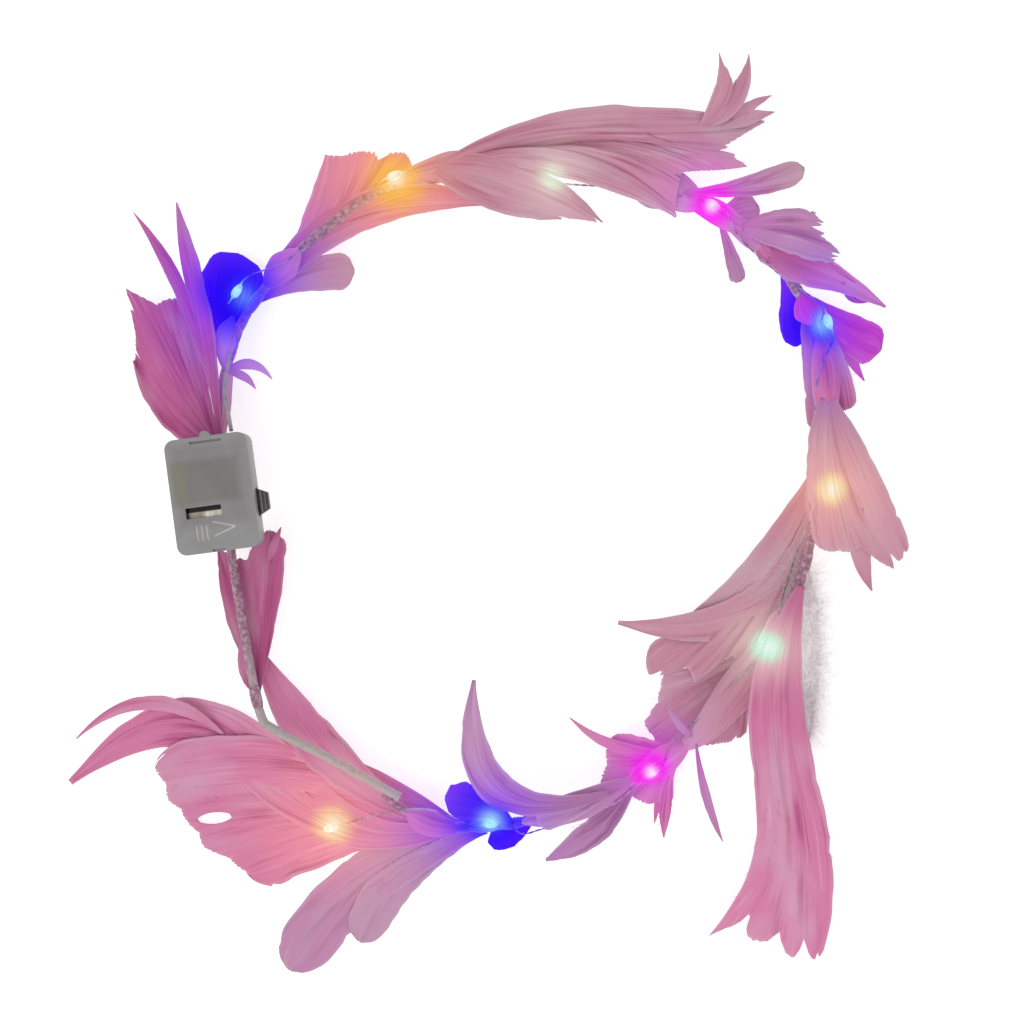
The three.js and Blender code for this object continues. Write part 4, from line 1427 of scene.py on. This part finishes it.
FEATHERS = (
    Feather("feather_upper_left", 136, Side.UNDER, Dye.ROSE, (
        # start, toward, reach, bow, sway, outline, wide, tip up, arch
        Vane(0, 56, 46, -3.5, 0, Outline.FAN, 14.5, 12, -4),
        Vane(0, 68, 40, -3.5, 0, Outline.BLADE, 8, 12, -3),
        Vane(0, 45, 55, -1.5, 0, Outline.FAN, 15, 6, -2),
        Vane(0, 18.5, 70, 11, 0, Outline.SICKLE, 12.5, 8, -2),
    ), (Span((2, 0, 1), 0.8, 0.04),), lit=1.25, over_ring=(139, 131)),
    Feather("feather_top_long", 105, Side.OVER, Dye.MAUVE, (
        Vane(0, 9.5, 105.5, 2, 2, Outline.BLADE, 15.5, 0.6, 13),
        Vane(0.78, 75, 22.8, -3.5, 0, Outline.WISP, 4.5, 18, 0),
        Vane(0.81, 61, 25.5, -4, 0, Outline.WISP, 4.8, 14, 0),
        Vane(0.88, 35, 16.5, 1, 0, Outline.WISP, 4.5, 8, 0),
        Vane(0.84, 19, 20.5, 0.5, 0, Outline.WISP, 6, 2, 0),
        Vane(0.6, -18, 36, -1, 0, Outline.WISP, 11, 16, 0),
        Vane(0, -11.5, 76, 11.5, 0, Outline.BLADE, 17, 17, 6),
        Vane(0, -18.4, 54.3, 2.5, 0, Outline.SICKLE, 13.5, 15, 5),
        Vane(0, -21.5, 42, -2.5, 0, Outline.SICKLE, 8.5, 15, 5),
    ), (Span((6, 5, 0), 10.5), Span((8, 7), 1.0), Span((2, 1), 8.5), Span((4, 3), 7.0)), over_ring=(112, 96)),
    Feather("feather_paddle_left", 142, Side.UNDER, Dye.MAUVE, (
        Vane(0, 19, 32, 3, 0, Outline.PADDLE, 12, 6, -1),
    )),
    Feather("feather_right_blade", 64.5, Side.OVER, Dye.ASH_ROSE, (
        Vane(0, 8, 37, -2, 0, Outline.PADDLE, 8, 26, 0),
    ), over_ring=(76, 60), cover_mm=14),
    Feather("feather_drop", 57.5, Side.UNDER, Dye.ASH_ROSE, (
        Vane(0, -71, 22, 0.5, 0, Outline.FAN, 5.5, 8, -1),
        Vane(0, 12, 14, 0, 0, Outline.PETAL, 11, 7, -1.5),
    ), over_ring=(65, 51), cover_mm=7.5),
    Feather("feather_shoulder", 53, Side.OVER, Dye.LILAC, (
        Vane(0, -16, 31.5, 0, 0, Outline.OAR, 11.5, 18, 7),
        Vane(0, 0, 24.5, 0.5, 0, Outline.OAR, 9, 20, 4),
    ), (Span((0, 1), 4.0, 0.4),), lit=0.95, over_ring=(57, 47), cover_mm=7),
    Feather("feather_barb", 47, Side.OVER, Dye.ROSE, (
        Vane(0, -24, 40, 0.5, 0, Outline.THORN, 14, 11, 4),
        Vane(0.6, -29, 10.5, -1, 0, Outline.WISP, 5, 10, 0),
    ), lit=0.8, over_ring=(50, 44), cover_mm=7),
    Feather("feather_petal_inner", 43.5, Side.UNDER, Dye.INDIGO, (
        Vane(0, -78, 23.5, 1.5, 0, Outline.PETAL, 9.5, 6, -2.5),
    ), lit=1.6),
    Feather("feather_petal_right", 40, Side.UNDER, Dye.MAGENTA, (
        Vane(0, -34.5, 33.5, -1, 0, Outline.PADDLE, 14, 8, -3),
        Vane(0.5, -62, 20.5, -0.5, 0, Outline.WISP, 4.5, 6, 0),
    ), lit=0.5, over_ring=(38.5, 33)),
    Feather("feather_neck", 36, Side.UNDER, Dye.ROSE, (
        Vane(0, -83, 38, 0.5, 0, Outline.SKIRT, 8, 8, 0),
        Vane(0, -67, 34, 2.5, 0, Outline.SKIRT, 7, 9, 0),
    ), (Span((0, 1), 5.0),), lit=0.75, over_ring=(31, 14), cover_mm=8.5),
    Feather("feather_bell", 20, Side.OVER, Dye.MAUVE, (
        Vane(0, -66, 58, -4.5, 0, Outline.SKIRT, 15, 2, 9),
        Vane(0, -64, 56, -1.5, 0, Outline.SKIRT, 11, 4, 9),
        Vane(0, -86, 47, -3, 0, Outline.SKIRT, 14.5, 15, 6),
        Vane(0.6, -76, 27, -2, 0, Outline.WISP, 7, 0.4, 0),
    ), (Span((2, 0, 1), 5.0, 0.05),), over_ring=(12, -4)),
    Feather("feather_sweep", 7.6, Side.UNDER, Dye.MAUVE, (
        Vane(0, -130, 83, 7.5, 0, Outline.SKIRT, 17.5, 7, -1.5),
        Vane(0, -143.5, 78.5, 21.5, 0, Outline.BLADE, 13, 10, -2.5),
        Vane(0, -121, 77, 5, 0, Outline.BLADE, 13, 9.6, -2.5),
        Vane(0, -111.5, 62, 3, 0, Outline.FAN, 8, 9.8, -2),
    ), (Span((0, 2, 3), 6.0, 0.06),)),
    Feather("feather_fluff", -10, Side.UNDER, Dye.DOWN, (
        Vane(0, -87.5, 57, 0.5, 0, Outline.WISP, 9.5, 3, -0.9),
    ), fluff=4200),
    Feather("feather_tail", -15, Side.OVER, Dye.ROSE, (
        Vane(0, -90, 119, -3.8, -2, Outline.OAR, 18, 0.4, 12),
        Vane(0, -103, 115, 1.4, -6.5, Outline.WISP, 8, 0.4, 12),
        Vane(0, -95.5, 115, -2.2, -5, Outline.OAR, 12, 0.4, 12),
        Vane(0, -86.5, 120, -4.6, -3, Outline.OAR, 12.5, 0.4, 12),
    ), (Span((1, 2, 0, 3), 7.5, 0.14),), over_ring=(-19, -33)),
    Feather("feather_down", -28, Side.UNDER, Dye.MAUVE, (
        Vane(0, -113, 36, -3, 0, Outline.FAN, 15.5, 3, -2),
        Vane(0, -133, 52, 0, 0, Outline.FAN, 13, 4, -2),
        Vane(0, -146, 47, 1, 0, Outline.FAN, 10, 5, -2),
        Vane(0, -156, 37, 2, 0, Outline.FAN, 9, 6, -2),
    ), (Span((3, 2, 1, 0), 2.0, 0.05),), fluff=500, over_ring=(-25, -57), cover_mm=12),
    Feather("feather_strand", -53.4, Side.OVER, Dye.VIOLET, (
        Vane(0, -74, 35, -1.5, 0, Outline.BLADE, 3.0, 6, 2),
        Vane(0, 131, 13, 1, 0, Outline.WISP, 2.4, 15.5, 0),
    )),
    Feather("feather_nest", -58.5, Side.UNDER, Dye.ROSE, (
        Vane(0, -154, 25.5, 2, 0, Outline.OAR, 16, 6, -2),
        Vane(0, 161.5, 34, 4, 0, Outline.WISP, 4.2, 11, -1),
        Vane(0, 172, 21, 1, 0, Outline.OAR, 9, 7.5, -1),
        Vane(0, -95, 28, -0.5, 0, Outline.BLADE, 4.5, 4, -1),
        Vane(0, -116, 19, 0, 0, Outline.OAR, 9, 5, -1),
        Vane(0, -103, 24, -0.5, 0, Outline.BLADE, 3.0, 4, -1),
    ), (Span((2, 0, 4), 1.2, 0.05),), lit=0.95, fluff=240, over_ring=(-55, -69)),
    Feather("feather_leaf", -67, Side.UNDER, Dye.VIOLET, (
        Vane(0, -136.5, 39, 4, 0, Outline.BLADE, 9.5, 8, -2),
    ), lit=0.7),
    Feather("feather_curl", -73, Side.OVER, Dye.VIOLET, (
        Vane(0, 139.5, 55.5, 21, 0, Outline.BLADE, 11.5, 30, 2),
        Vane(0, -161, 25, 1, 0, Outline.FAN, 8.5, 17, 0.5),
    ), lit=0.75, over_ring=(-68, -91)),
    Feather("feather_petal_low", -88.5, Side.UNDER, Dye.INDIGO, (
        Vane(0, -150, 16.5, 1.5, 0, Outline.PETAL, 7.5, 7.6, -0.3),
    ), lit=1.6),
    Feather("feather_petal_blue", -92.5, Side.OVER, Dye.INDIGO, (
        Vane(0, 158, 22.5, -2, 0, Outline.PETAL, 12.5, 16.2, 0.6),
    ), lit=1.7),
    Feather("feather_low_paddle", -97, Side.UNDER, Dye.LILAC, (
        Vane(0, -142.6, 78.5, -7.5, 0, Outline.SPOON, 19, 1.2, -4.4),
        Vane(0, -136, 55.5, -6.5, 0, Outline.SPOON, 14, 2.2, -3.6),
    ), bare_quill=(0, 0.5)),
    Feather("feather_fan", -101.5, Side.UNDER, Dye.ROSE, (
        Vane(0, 174.5, 124.5, -11, 13.5, Outline.BLADE, 20.5, 0.4, -3.8),
        Vane(0.62, 180, 45, -11, 0, Outline.WISP, 5, 8, 2),
        Vane(0, 170.5, 98, -10, 0, Outline.PADDLE, 16, 2, -3),
        Vane(0, 180, 87, -4, 0, Outline.PADDLE, 11, 1.5, -3),
        Vane(0, -174, 82, -4.5, 0, Outline.PADDLE, 14, 1.5, -3),
        Vane(0, -166.5, 70, -4.5, 0, Outline.PADDLE, 17.5, 1.5, -3),
        Vane(0, 176, 93, -7, 0, Outline.PADDLE, 11, 1.8, -3),
    ), (Span((2, 6, 3, 4, 5), 1.3, 0.03, Parting(2, 0.4, 0.835, 0.96, 3.0)),), lit=1.3, bare_quill=(3, 0.4),
        over_ring=(-100, -112), cover_mm=8, cover_up=2.0),
    Feather("feather_inner_leaf", -107, Side.UNDER, Dye.ROSE, (
        Vane(0, 135, 76, 8, 0, Outline.BLADE, 15, 6, -1),
    )),
    Feather("feather_sheath", 213.5, Side.UNDER, Dye.FUCHSIA, (
        Vane(0, 86, 52, -0.5, 0, Outline.FAN, 12, 12, -1),
        Vane(0, 105, 48, -1.5, 0, Outline.BLADE, 10.5, 9, -1),
        Vane(0, 104, 19, 2, 0, Outline.WISP, 3.5, 11, 0),
        Vane(0.8, 68, 12, 0, 0, Outline.WISP, 3, 13, 0),
    ), (Span((0, 1), 7.0),)),
    Feather("feather_plume_left", 169, Side.OVER, Dye.FUCHSIA, (
        Vane(0, 121.5, 61, 0, 0, Outline.BLADE, 16.5, 6, 1),
        Vane(0, 108.5, 75.5, -6, 0, Outline.BLADE, 6.5, 28, -3),
        Vane(0, 98, 74.5, 0.5, 0, Outline.BLADE, 10, 33, -3),
        Vane(0, 106, 50, 1, 0, Outline.FAN, 9, 9, 1),
        Vane(0, 135.5, 42.5, 2.6, 0, Outline.SICKLE, 10.5, 0.4, 0),
    ), (Span((3, 0, 4), 4.0), Span((2, 1), 24.0)), lit=1.1, over_ring=(167, 152), cover_mm=5),
    Feather("feather_spikes", 155, Side.OVER, Dye.MAUVE, (
        Vane(0, -10, 15, 3.5, 0, Outline.WISP, 3.5, 18, 0),
        Vane(0, -30, 11, 1.5, 0, Outline.WISP, 3, 17, 0),
        Vane(0, 80, 17, 1, 0, Outline.BLADE, 7.5, 19, 2.5),
    ), lit=1.6),
    Feather("feather_petal_left", 151, Side.UNDER, Dye.INDIGO, (
        Vane(0, 87, 30.5, 2.5, 0, Outline.PETAL, 21, 6, -2),
        Vane(0, 111, 25, 3.5, 0, Outline.PETAL, 7, 10, -1),
    ), lit=1.75),
)


@dataclass(frozen=True)
class BoxZone:
    """A zone of another colour on the battery box, in the box's own frame: middle, half size and colour."""

    middle: tuple[float, float]
    half: tuple[float, float]
    colour: str
    blur_mm: float = 0.35
    strength: float = 0.85
    # Height under which the zone lies, for marks sunk into a face
    below: float | None = None

    def tint(self, tree: bpy.types.NodeTree, colour: bpy.types.NodeSocket) -> bpy.types.NodeSocket:
        """Lays the zone's colour over a material's colour.

        Args:
            tree: The node tree of the material.
            colour: The colour without the zone.

        Returns:
            The colour with the zone.
        """
        place = add_node(tree, "ShaderNodeTexCoord").outputs["Object"]
        middle = (np.array(BOX_PLACE) + SHIFT) * MM
        local = add_node(tree, "ShaderNodeMapping", {
            "Vector": place, "Location": tuple(middle), "Rotation": (0, 0, math.radians(BOX_TURN)),
            "Scale": (MM, MM, MM)}, vector_type="TEXTURE").outputs[0]
        axes = add_node(tree, "ShaderNodeSeparateXYZ", {0: local}).outputs
        shares = []
        for axis in (0, 1):
            off = add_node(tree, "ShaderNodeMath", {0: axes[axis], 1: self.middle[axis]},
                           operation="SUBTRACT")
            far = add_node(tree, "ShaderNodeMath", {0: off.outputs[0]}, operation="ABSOLUTE")
            half = self.half[axis]
            share = add_node(tree, "ShaderNodeMapRange", {
                "Value": far.outputs[0], "From Min": half - self.blur_mm, "From Max": half + self.blur_mm,
                "To Min": self.strength, "To Max": 0.0})
            shares.append(share.outputs[0])
        both = add_node(tree, "ShaderNodeMath", {0: shares[0], 1: shares[1]}, operation="MINIMUM")
        mask = both.outputs[0]
        if self.below is not None:
            sunk = add_node(tree, "ShaderNodeMath", {0: axes[2], 1: self.below}, operation="LESS_THAN")
            mask = add_node(tree, "ShaderNodeMath", {0: mask, 1: sunk.outputs[0]},
                            operation="MULTIPLY").outputs[0]
        return add_node(tree, "ShaderNodeMix", {"Factor": mask, "A": colour, "B": (*linear(self.colour), 1)},
                        data_type="RGBA").outputs[2]


@dataclass(frozen=True, kw_only=True)
class BoxFinish(Finish):
    """What the finishes of the battery box share: zones of other colours, and a fine bump."""

    zones: tuple[BoxZone, ...] = ()
    bump: float = 0.2
    depth_mm: float

    def close(self, tree: bpy.types.NodeTree, colour: bpy.types.NodeSocket, height: bpy.types.NodeSocket,
              **values: float) -> bpy.types.Node:
        """Adds the zones and the shader.

        Args:
            tree: The node tree of the material.
            colour: The colour without the zones.
            height: The height that the bump follows.
            values: The shader's uniform values.

        Returns:
            The shader.
        """
        for zone in self.zones:
            colour = zone.tint(tree, colour)
        bump = add_node(tree, "ShaderNodeBump", {
            "Height": height, "Strength": self.bump, "Distance": self.depth_mm * MM})
        return add_node(tree, "ShaderNodeBsdfPrincipled", {
            "Base Color": colour, "Normal": bump.outputs[0], **values})


@dataclass(frozen=True, kw_only=True)
class FrostedCase(BoxFinish):
    """Polypropylene, moulded with a matt tool: greyish, and the board inside shows as an olive zone."""

    edge: str
    body: str
    grit_mm: float = 0.5
    cloud_mm: float = 9.0
    bump: float = 0.25
    depth_mm: float = 0.05

    def dress(self, tree: bpy.types.NodeTree) -> bpy.types.Node:
        """Adds the nodes of the finish.

        Args:
            tree: The material's node tree.

        Returns:
            The shader.
        """
        place = add_node(tree, "ShaderNodeTexCoord").outputs["Object"]
        cloud = add_node(tree, "ShaderNodeTexNoise", {"Vector": place, "Scale": 1 / (self.cloud_mm * MM)})
        grit = add_node(tree, "ShaderNodeTexNoise", {"Vector": place, "Scale": 1 / (self.grit_mm * MM)})
        colour = add_node(tree, "ShaderNodeMix", {
            "Factor": cloud.outputs[0], "A": (*linear(self.edge), 1), "B": (*linear(self.body), 1)},
            data_type="RGBA")
        return self.close(tree, colour.outputs[2], grit.outputs[0], Roughness=0.44, IOR=1.49)


CASE = FrostedCase(edge="#8b8b87", body="#7e7b78")
LID = FrostedCase(edge="#8e8d8c", body="#848283", zones=(
    # The field above the window, the board behind it, and its left edge
    BoxZone((0, 3), (10.8, 12.4), "#7c797a", 1.6),
    BoxZone((-0.4, 4.05), (9.0, 6.4), "#6e6e68", 1.0),
    BoxZone((-9.4, 4.05), (2.2, 6.4), "#77776b", 0.8),
    # The arrow and the ribs, which are sunk into the face, with painted light that lifts the shade in their
    # grooves
    BoxZone((0, -11.2), (9, 4.4), "#cfcfca", 0.3, 0.9, 10.05),
))


@dataclass(frozen=True, kw_only=True)
class CellSteel(BoxFinish):
    """Nickel-plated steel, rolled: bright with faint brush marks."""

    bright: str = "#cfcac0"
    dull: str = "#a39d93"
    brush_mm: float = 0.35
    # How many times longer the marks are than wide
    drawn: float = 12.5
    depth_mm: float = 0.02
    # Through the lid's window its upper part lies in the dark, and its left end mirrors the brown board
    zones: tuple[BoxZone, ...] = (
        BoxZone((-6.6, -6.0), (3.2, 1.3), "#6f6558", 0.9),
        BoxZone((-3.2, -3.4), (7.0, 1.55), "#1d1712", 0.2, 0.97),
    )

    def dress(self, tree: bpy.types.NodeTree) -> bpy.types.Node:
        """Adds the nodes of the finish.

        Args:
            tree: The material's node tree.

        Returns:
            The shader.
        """
        place = add_node(tree, "ShaderNodeTexCoord").outputs["Object"]
        stretched = add_node(tree, "ShaderNodeMapping", {
            "Vector": place, "Scale": (1.0, 1 / self.drawn, 1.0)})
        marks = add_node(tree, "ShaderNodeTexNoise", {
            "Vector": stretched.outputs[0], "Scale": 1 / (self.brush_mm * MM), "Detail": 3.0})
        colour = add_node(tree, "ShaderNodeValToRGB", {"Fac": marks.outputs[0]},
                          stops=((0.3, self.dull), (0.7, self.bright)))
        return self.close(tree, colour.outputs[0], marks.outputs[0], Metallic=1.0, Roughness=0.3)


@dataclass(frozen=True, kw_only=True)
class SwitchAbs(BoxFinish):
    """ABS, moulded black: satin, with rubbed edges a little lighter, and painted highlights along two ridges.
    """

    body: str = "#262427"
    rubbed: str = "#4d4a4d"
    grit_mm: float = 0.6
    depth_mm: float = 0.04
    # Painted highlights along two ridges of its face, with some rubbing wear
    zones: tuple[BoxZone, ...] = (
        BoxZone((13.7, -4.1), (0.2, 3.4), "#8f8c8f", 0.08),
        BoxZone((14.9, -4.1), (0.16, 2.8), "#6f6c6f", 0.08),
    )

    def dress(self, tree: bpy.types.NodeTree) -> bpy.types.Node:
        """Adds the nodes of the finish.

        Args:
            tree: The material's node tree.

        Returns:
            The shader.
        """
        place = add_node(tree, "ShaderNodeTexCoord").outputs["Object"]
        grit = add_node(tree, "ShaderNodeTexNoise", {
            "Vector": place, "Scale": 1 / (self.grit_mm * MM), "Detail": 3.0})
        colour = add_node(tree, "ShaderNodeValToRGB", {"Fac": grit.outputs[0]},
                          stops=((0.4, self.body), (0.75, self.rubbed)))
        return self.close(tree, colour.outputs[0], grit.outputs[0], Roughness=0.42, IOR=1.53)


@dataclass(frozen=True)
class MattPaper(Finish):
    """Uncoated paper: matt and white, with a faint grain."""

    dark: str = "#cbcbcb"
    light: str = "#cecece"
    grain_mm: float = 3.33
    # A little light of its own keeps the paper white under the crown
    own_light: float = 0.62

    def dress(self, tree: bpy.types.NodeTree) -> bpy.types.Node:
        """Adds the nodes of the finish.

        Args:
            tree: The material's node tree.

        Returns:
            The shader.
        """
        place = add_node(tree, "ShaderNodeTexCoord").outputs["Object"]
        grain = add_node(tree, "ShaderNodeTexNoise", {"Vector": place, "Scale": 1 / (self.grain_mm * MM)})
        colour = add_node(tree, "ShaderNodeValToRGB", {"Fac": grain.outputs[0]},
                          stops=((0.3, self.dark), (0.7, self.light)))
        return add_node(tree, "ShaderNodeBsdfPrincipled", {
            "Base Color": colour.outputs[0], "Roughness": 0.95, "Emission Color": (1, 1, 1, 1),
            "Emission Strength": self.own_light})


@dataclass
class RingWire:
    """The ring: wire in sleeving, bare at the lower left and bound with thread everywhere else."""

    radius_mm: float = 1.5
    step_mm: float = 0.4
    sides: int = 16
    pitch_mm: float = 1.5
    ridge_mm: float = 0.05
    braid_mm: float = 0.03
    # How far inside the wire's full radius the ridges stand
    inset_mm: float = 0.1
    # The sleeving shows bare at bearings over this, and the binding fades out over some degrees
    bare_over: float = 212.0
    fade: float = 24.0
    fine: int = 4000

    def build(self, sleeving: bpy.types.Material) -> bpy.types.Object:
        """Builds the ring in place of its CAD solid.

        Args:
            sleeving: The ring's material.

        Returns:
            The piece.
        """
        fine = np.linspace(0, 1, self.fine)
        way = way_along(RING.at(fine))
        shares = np.interp(np.arange(0, way[-1], self.step_mm), way, fine)
        path = RING.at(shares)
        along = np.arange(len(path)) * self.step_mm
        bearing = np.interp(shares, RING_SHARES, RING_BEARINGS)
        bound = smooth((self.bare_over + self.fade / 2 - bearing) / self.fade)
        angles = np.linspace(0, 2 * math.pi, self.sides, endpoint=False)[None, :]
        turn = 2 * math.pi * along[:, None] / self.pitch_mm
        wound = self.ridge_mm * np.sin(turn + angles)
        braid = self.braid_mm * np.sin(2 * turn + 2 * angles) * np.sin(2 * turn - 2 * angles)
        radii = self.radius_mm - self.inset_mm + bound[:, None] * wound + (1 - bound[:, None]) * braid
        body, faces = tube_body(path, radii, self.sides)
        look = np.stack([np.repeat(bound, self.sides), np.zeros(len(body)), np.zeros(len(body))], 1)
        shell = Shell()
        shell.add(body, faces, look=look)
        piece = shell.piece("ring_sleeving", (sleeving,))
        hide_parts("ring_wire")
        return piece


@dataclass
class LightString:
    """Two twisted wires with ten drops cast on them, and the lead that joins them to the box."""

    wire_mm: float = 0.7
    strand_mm: float = 0.16
    twist_mm: float = 5.0
    step_mm: float = 0.7
    sides: int = 6
    # Width of a drop and of the lead, with the rows and sides of their meshes
    drop_wide: float = 2.6
    drop_grid: tuple[int, int] = (26, 20)
    lead_mm: float = 1.2
    lead_grid: tuple[int, int] = (40, 12)

    def drop(self, number: int, lit: LitPoint, resin: bpy.types.Material) -> bpy.types.Object:
        """Builds one drop of resin, fatter at one end.

        Args:
            number: The light's number along the string.
            lit: Its place and colour.
            resin: Its material.

        Returns:
            The piece.
        """
        rows, sides = self.drop_grid
        share = np.linspace(-1, 1, rows)
        belly = np.sqrt(np.clip(1 - share ** 2, 0.03, 1)) * (1 - 0.12 * share)
        path = lit.middle + share[:, None] * lit.along * LED_LONG / 2
        body, faces = tube_body(path, belly * self.drop_wide / 2, sides)
        shell = Shell()
        shell.add(body, faces)
        piece = shell.piece(f"light_drop_{number:02d}", (resin,))
        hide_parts(f"led_{number:02d}")
        return piece

    def build(self, wire: bpy.types.Material, resin: bpy.types.Material) -> list[bpy.types.Object]:
        """Builds the drops and the wire through them.

        Args:
            wire: The wire's material.
            resin: The drops' material.

        Returns:
            The pieces.
        """
        drops = [self.drop(i + 1, lit, resin) for i, lit in enumerate(LIGHTS)]
        spline = Spline(STRING_POINTS, 0.25)
        total = length(spline.even(800))
        path = spline.even(int(total / self.step_mm))
        along = unit(np.gradient(path, axis=0))
        across = unit(np.cross(along, NEARLY_UP))
        above = np.cross(across, along)
        turn = 2 * math.pi * np.linspace(0, total / self.twist_mm, len(path))[:, None]
        shell = Shell()
        for phase in (0, math.pi):
            offset = (np.cos(turn + phase) * across + np.sin(turn + phase) * above) * self.strand_mm
            body, faces = tube_body(path + offset, np.full(len(path), self.strand_mm), self.sides)
            shell.add(body, faces)
        piece = shell.piece("light_wire", (wire,))
        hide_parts("led_wire")
        return [*drops, piece]

    def lead(self, insulation: bpy.types.Material) -> bpy.types.Object:
        """Builds the lead from the box.

        Args:
            insulation: Its material.

        Returns:
            The piece.
        """
        rows, sides = self.lead_grid
        path = Spline(np.array(LEAD_ROWS) + SHIFT, 0.25).even(rows)
        body, faces = tube_body(path, np.full(rows, self.lead_mm / 2), sides)
        shell = Shell()
        shell.add(body, faces)
        piece = shell.piece("box_lead", (insulation,))
        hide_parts("lead_wire")
        return piece


@dataclass
class BatteryBox:
    """The box of the coin cell: case, lid, cell, switch and the saddle that holds it on the ring."""

    bevel_mm: float = 0.3
    fine_bevel_mm: float = 0.2
    # Degrees under which faces are flat, over which an edge is rounded, and over which shading breaks
    flat_under: float = 1.0
    round_over: float = 40.0
    sharp_over: float = 35.0

    def part(self, node: str, name: str, body: str, slot: str, material: bpy.types.Material,
             bevel_mm: float) -> bpy.types.Object:
        """Rounds the edges of a CAD solid in a copy, and puts the copy in its place.

        Args:
            node: The CAD node.
            name: The piece's name.
            body: The body it rides on.
            slot: The name of a material slot; not used.
            material: Its material.
            bevel_mm: How wide the rounding is.

        Returns:
            The piece.
        """
        solid = bmesh.new()
        solid.from_mesh(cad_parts[node].data)
        bmesh.ops.transform(solid, matrix=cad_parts[node].matrix_world, verts=solid.verts)
        bmesh.ops.remove_doubles(solid, verts=solid.verts, dist=1e-6)
        bmesh.ops.dissolve_limit(solid, angle_limit=math.radians(self.flat_under), verts=solid.verts,
                                 edges=solid.edges)
        least = math.radians(self.round_over)
        corners = [edge for edge in solid.edges if edge.is_manifold and edge.calc_face_angle() > least]
        bmesh.ops.bevel(solid, geom=corners, offset=bevel_mm * MM, segments=3, profile=0.5, affect="EDGES",
                        clamp_overlap=True)
        bmesh.ops.recalc_face_normals(solid, faces=solid.faces)
        mesh = bpy.data.meshes.new(name)
        solid.to_mesh(mesh)
        solid.free()
        mesh.polygons.foreach_set("use_smooth", np.ones(len(mesh.polygons), bool))
        mesh.set_sharp_from_angle(angle=math.radians(self.sharp_over))
        mesh.materials.append(material)
        piece = bpy.data.objects.new(name, mesh)
        bpy.context.scene.collection.objects.link(piece)
        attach(piece, body)
        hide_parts(node)
        return piece

    def build(self, case: bpy.types.Material, lid: bpy.types.Material, steel: bpy.types.Material,
              black: bpy.types.Material) -> list[bpy.types.Object]:
        """Builds the box.

        Args:
            case: The case's material.
            lid: The lid's material.
            steel: The cell's material.
            black: The switch's material.

        Returns:
            The pieces.
        """
        return [
            self.part("battery_case", "cell_case", BODY, "frosted_case", case, self.bevel_mm),
            self.part("battery_lid", "cell_lid", "lid", "frosted_case", lid, self.fine_bevel_mm),
            self.part("coin_cell", "steel_cell", BODY, "cell_steel", steel, self.bevel_mm),
            self.part("switch_knob", "switch_slider", "knob", "black_switch", black, self.fine_bevel_mm),
            self.part("box_clip", "ring_saddle", BODY, "frosted_case", case, self.bevel_mm),
        ]


@dataclass
class Studio:
    """Plain pale floor, soft light and the camera straight above."""

    camera_at: tuple[float, float, float] = (7.386, 3.895, 520.0)
    lens_mm: float = 57.5
    floor_mm: float = 4000.0
    # The key's power, how wide it is and how far it leans, and the room's power
    key_power: float = 0.8
    key_wide: float = 50.0
    key_lean: tuple[float, float] = (28.0, -24.0)
    room_power: float = 0.79

    def floor(self) -> None:
        """Builds the floor, which isn't part of the object."""
        half = self.floor_mm * MM / 2
        corners = [(-half, -half, 0), (half, -half, 0), (half, half, 0), (-half, half, 0)]
        mesh = bpy.data.meshes.new("paper_floor")
        mesh.from_pydata(corners, [], [(0, 1, 2, 3)])
        mesh.materials.append(MattPaper().make("matt_paper_floor"))
        floor = bpy.data.objects.new("paper_floor", mesh)
        bpy.context.scene.collection.objects.link(floor)

    def lights(self) -> None:
        """Adds a soft key from the upper left, and a pale room all round."""
        lamp = bpy.data.lights.new("soft_key", "SUN")
        lamp.energy = self.key_power
        lamp.angle = math.radians(self.key_wide)
        key = bpy.data.objects.new("soft_key", lamp)
        key.rotation_euler = (*(math.radians(lean) for lean in self.key_lean), 0)
        bpy.context.scene.collection.objects.link(key)
        world = bpy.data.worlds.new("pale_room")
        world.use_nodes = True
        back = world.node_tree.nodes["Background"]
        back.inputs["Color"].default_value = (1, 1, 1, 1)
        back.inputs["Strength"].default_value = self.room_power
        bpy.context.scene.world = world
        bpy.context.scene.view_settings.view_transform = "Standard"

    def camera(self) -> None:
        """Puts the camera straight above, with +Y up in the picture."""
        lens = bpy.data.cameras.new("camera")
        lens.lens = self.lens_mm
        lens.sensor_width = 36.0
        lens.clip_start, lens.clip_end = 0.01, 20.0
        eye = bpy.data.objects.new("camera", lens)
        eye.location = Vector(self.camera_at) * MM
        bpy.context.scene.collection.objects.link(eye)
        bpy.context.scene.camera = eye


def main() -> None:
    """Builds the crown, piece by piece, and the studio round it."""
    logging.basicConfig(level=logging.INFO, format="%(message)s")
    studio = Studio()
    studio.camera()
    string = LightString()
    pieces = string.build(SILVER_WIRE.make("enamelled_wire_drawn"), RESIN_DROP.make("epoxy_drop_cast"))
    pieces.append(string.lead(SOFT_PVC.make("pvc_lead_extruded")))
    sleeving = BoundSleeving().make("glass_sleeving_braided")
    pieces.append(RingWire().build(sleeving))
    dyed = {dye: DyedFeather(dye.value).make(f"goose_feather_dyed_{dye.name.lower()}") for dye in Dye}
    quill = QUILL.make("goose_quill_stripped")
    pieces += [feather.build(dyed, quill, sleeving) for feather in FEATHERS]
    pieces += BatteryBox().build(
        CASE.make("polypropylene_case_moulded"), LID.make("polypropylene_lid_moulded"),
        CellSteel().make("nickel_steel_rolled"), SwitchAbs().make("abs_switch_moulded"))
    for piece in pieces:
        log.info("%s: %d faces", piece.name, len(piece.data.polygons))
    studio.floor()
    studio.lights()


if __name__ == "__main__":
    main()
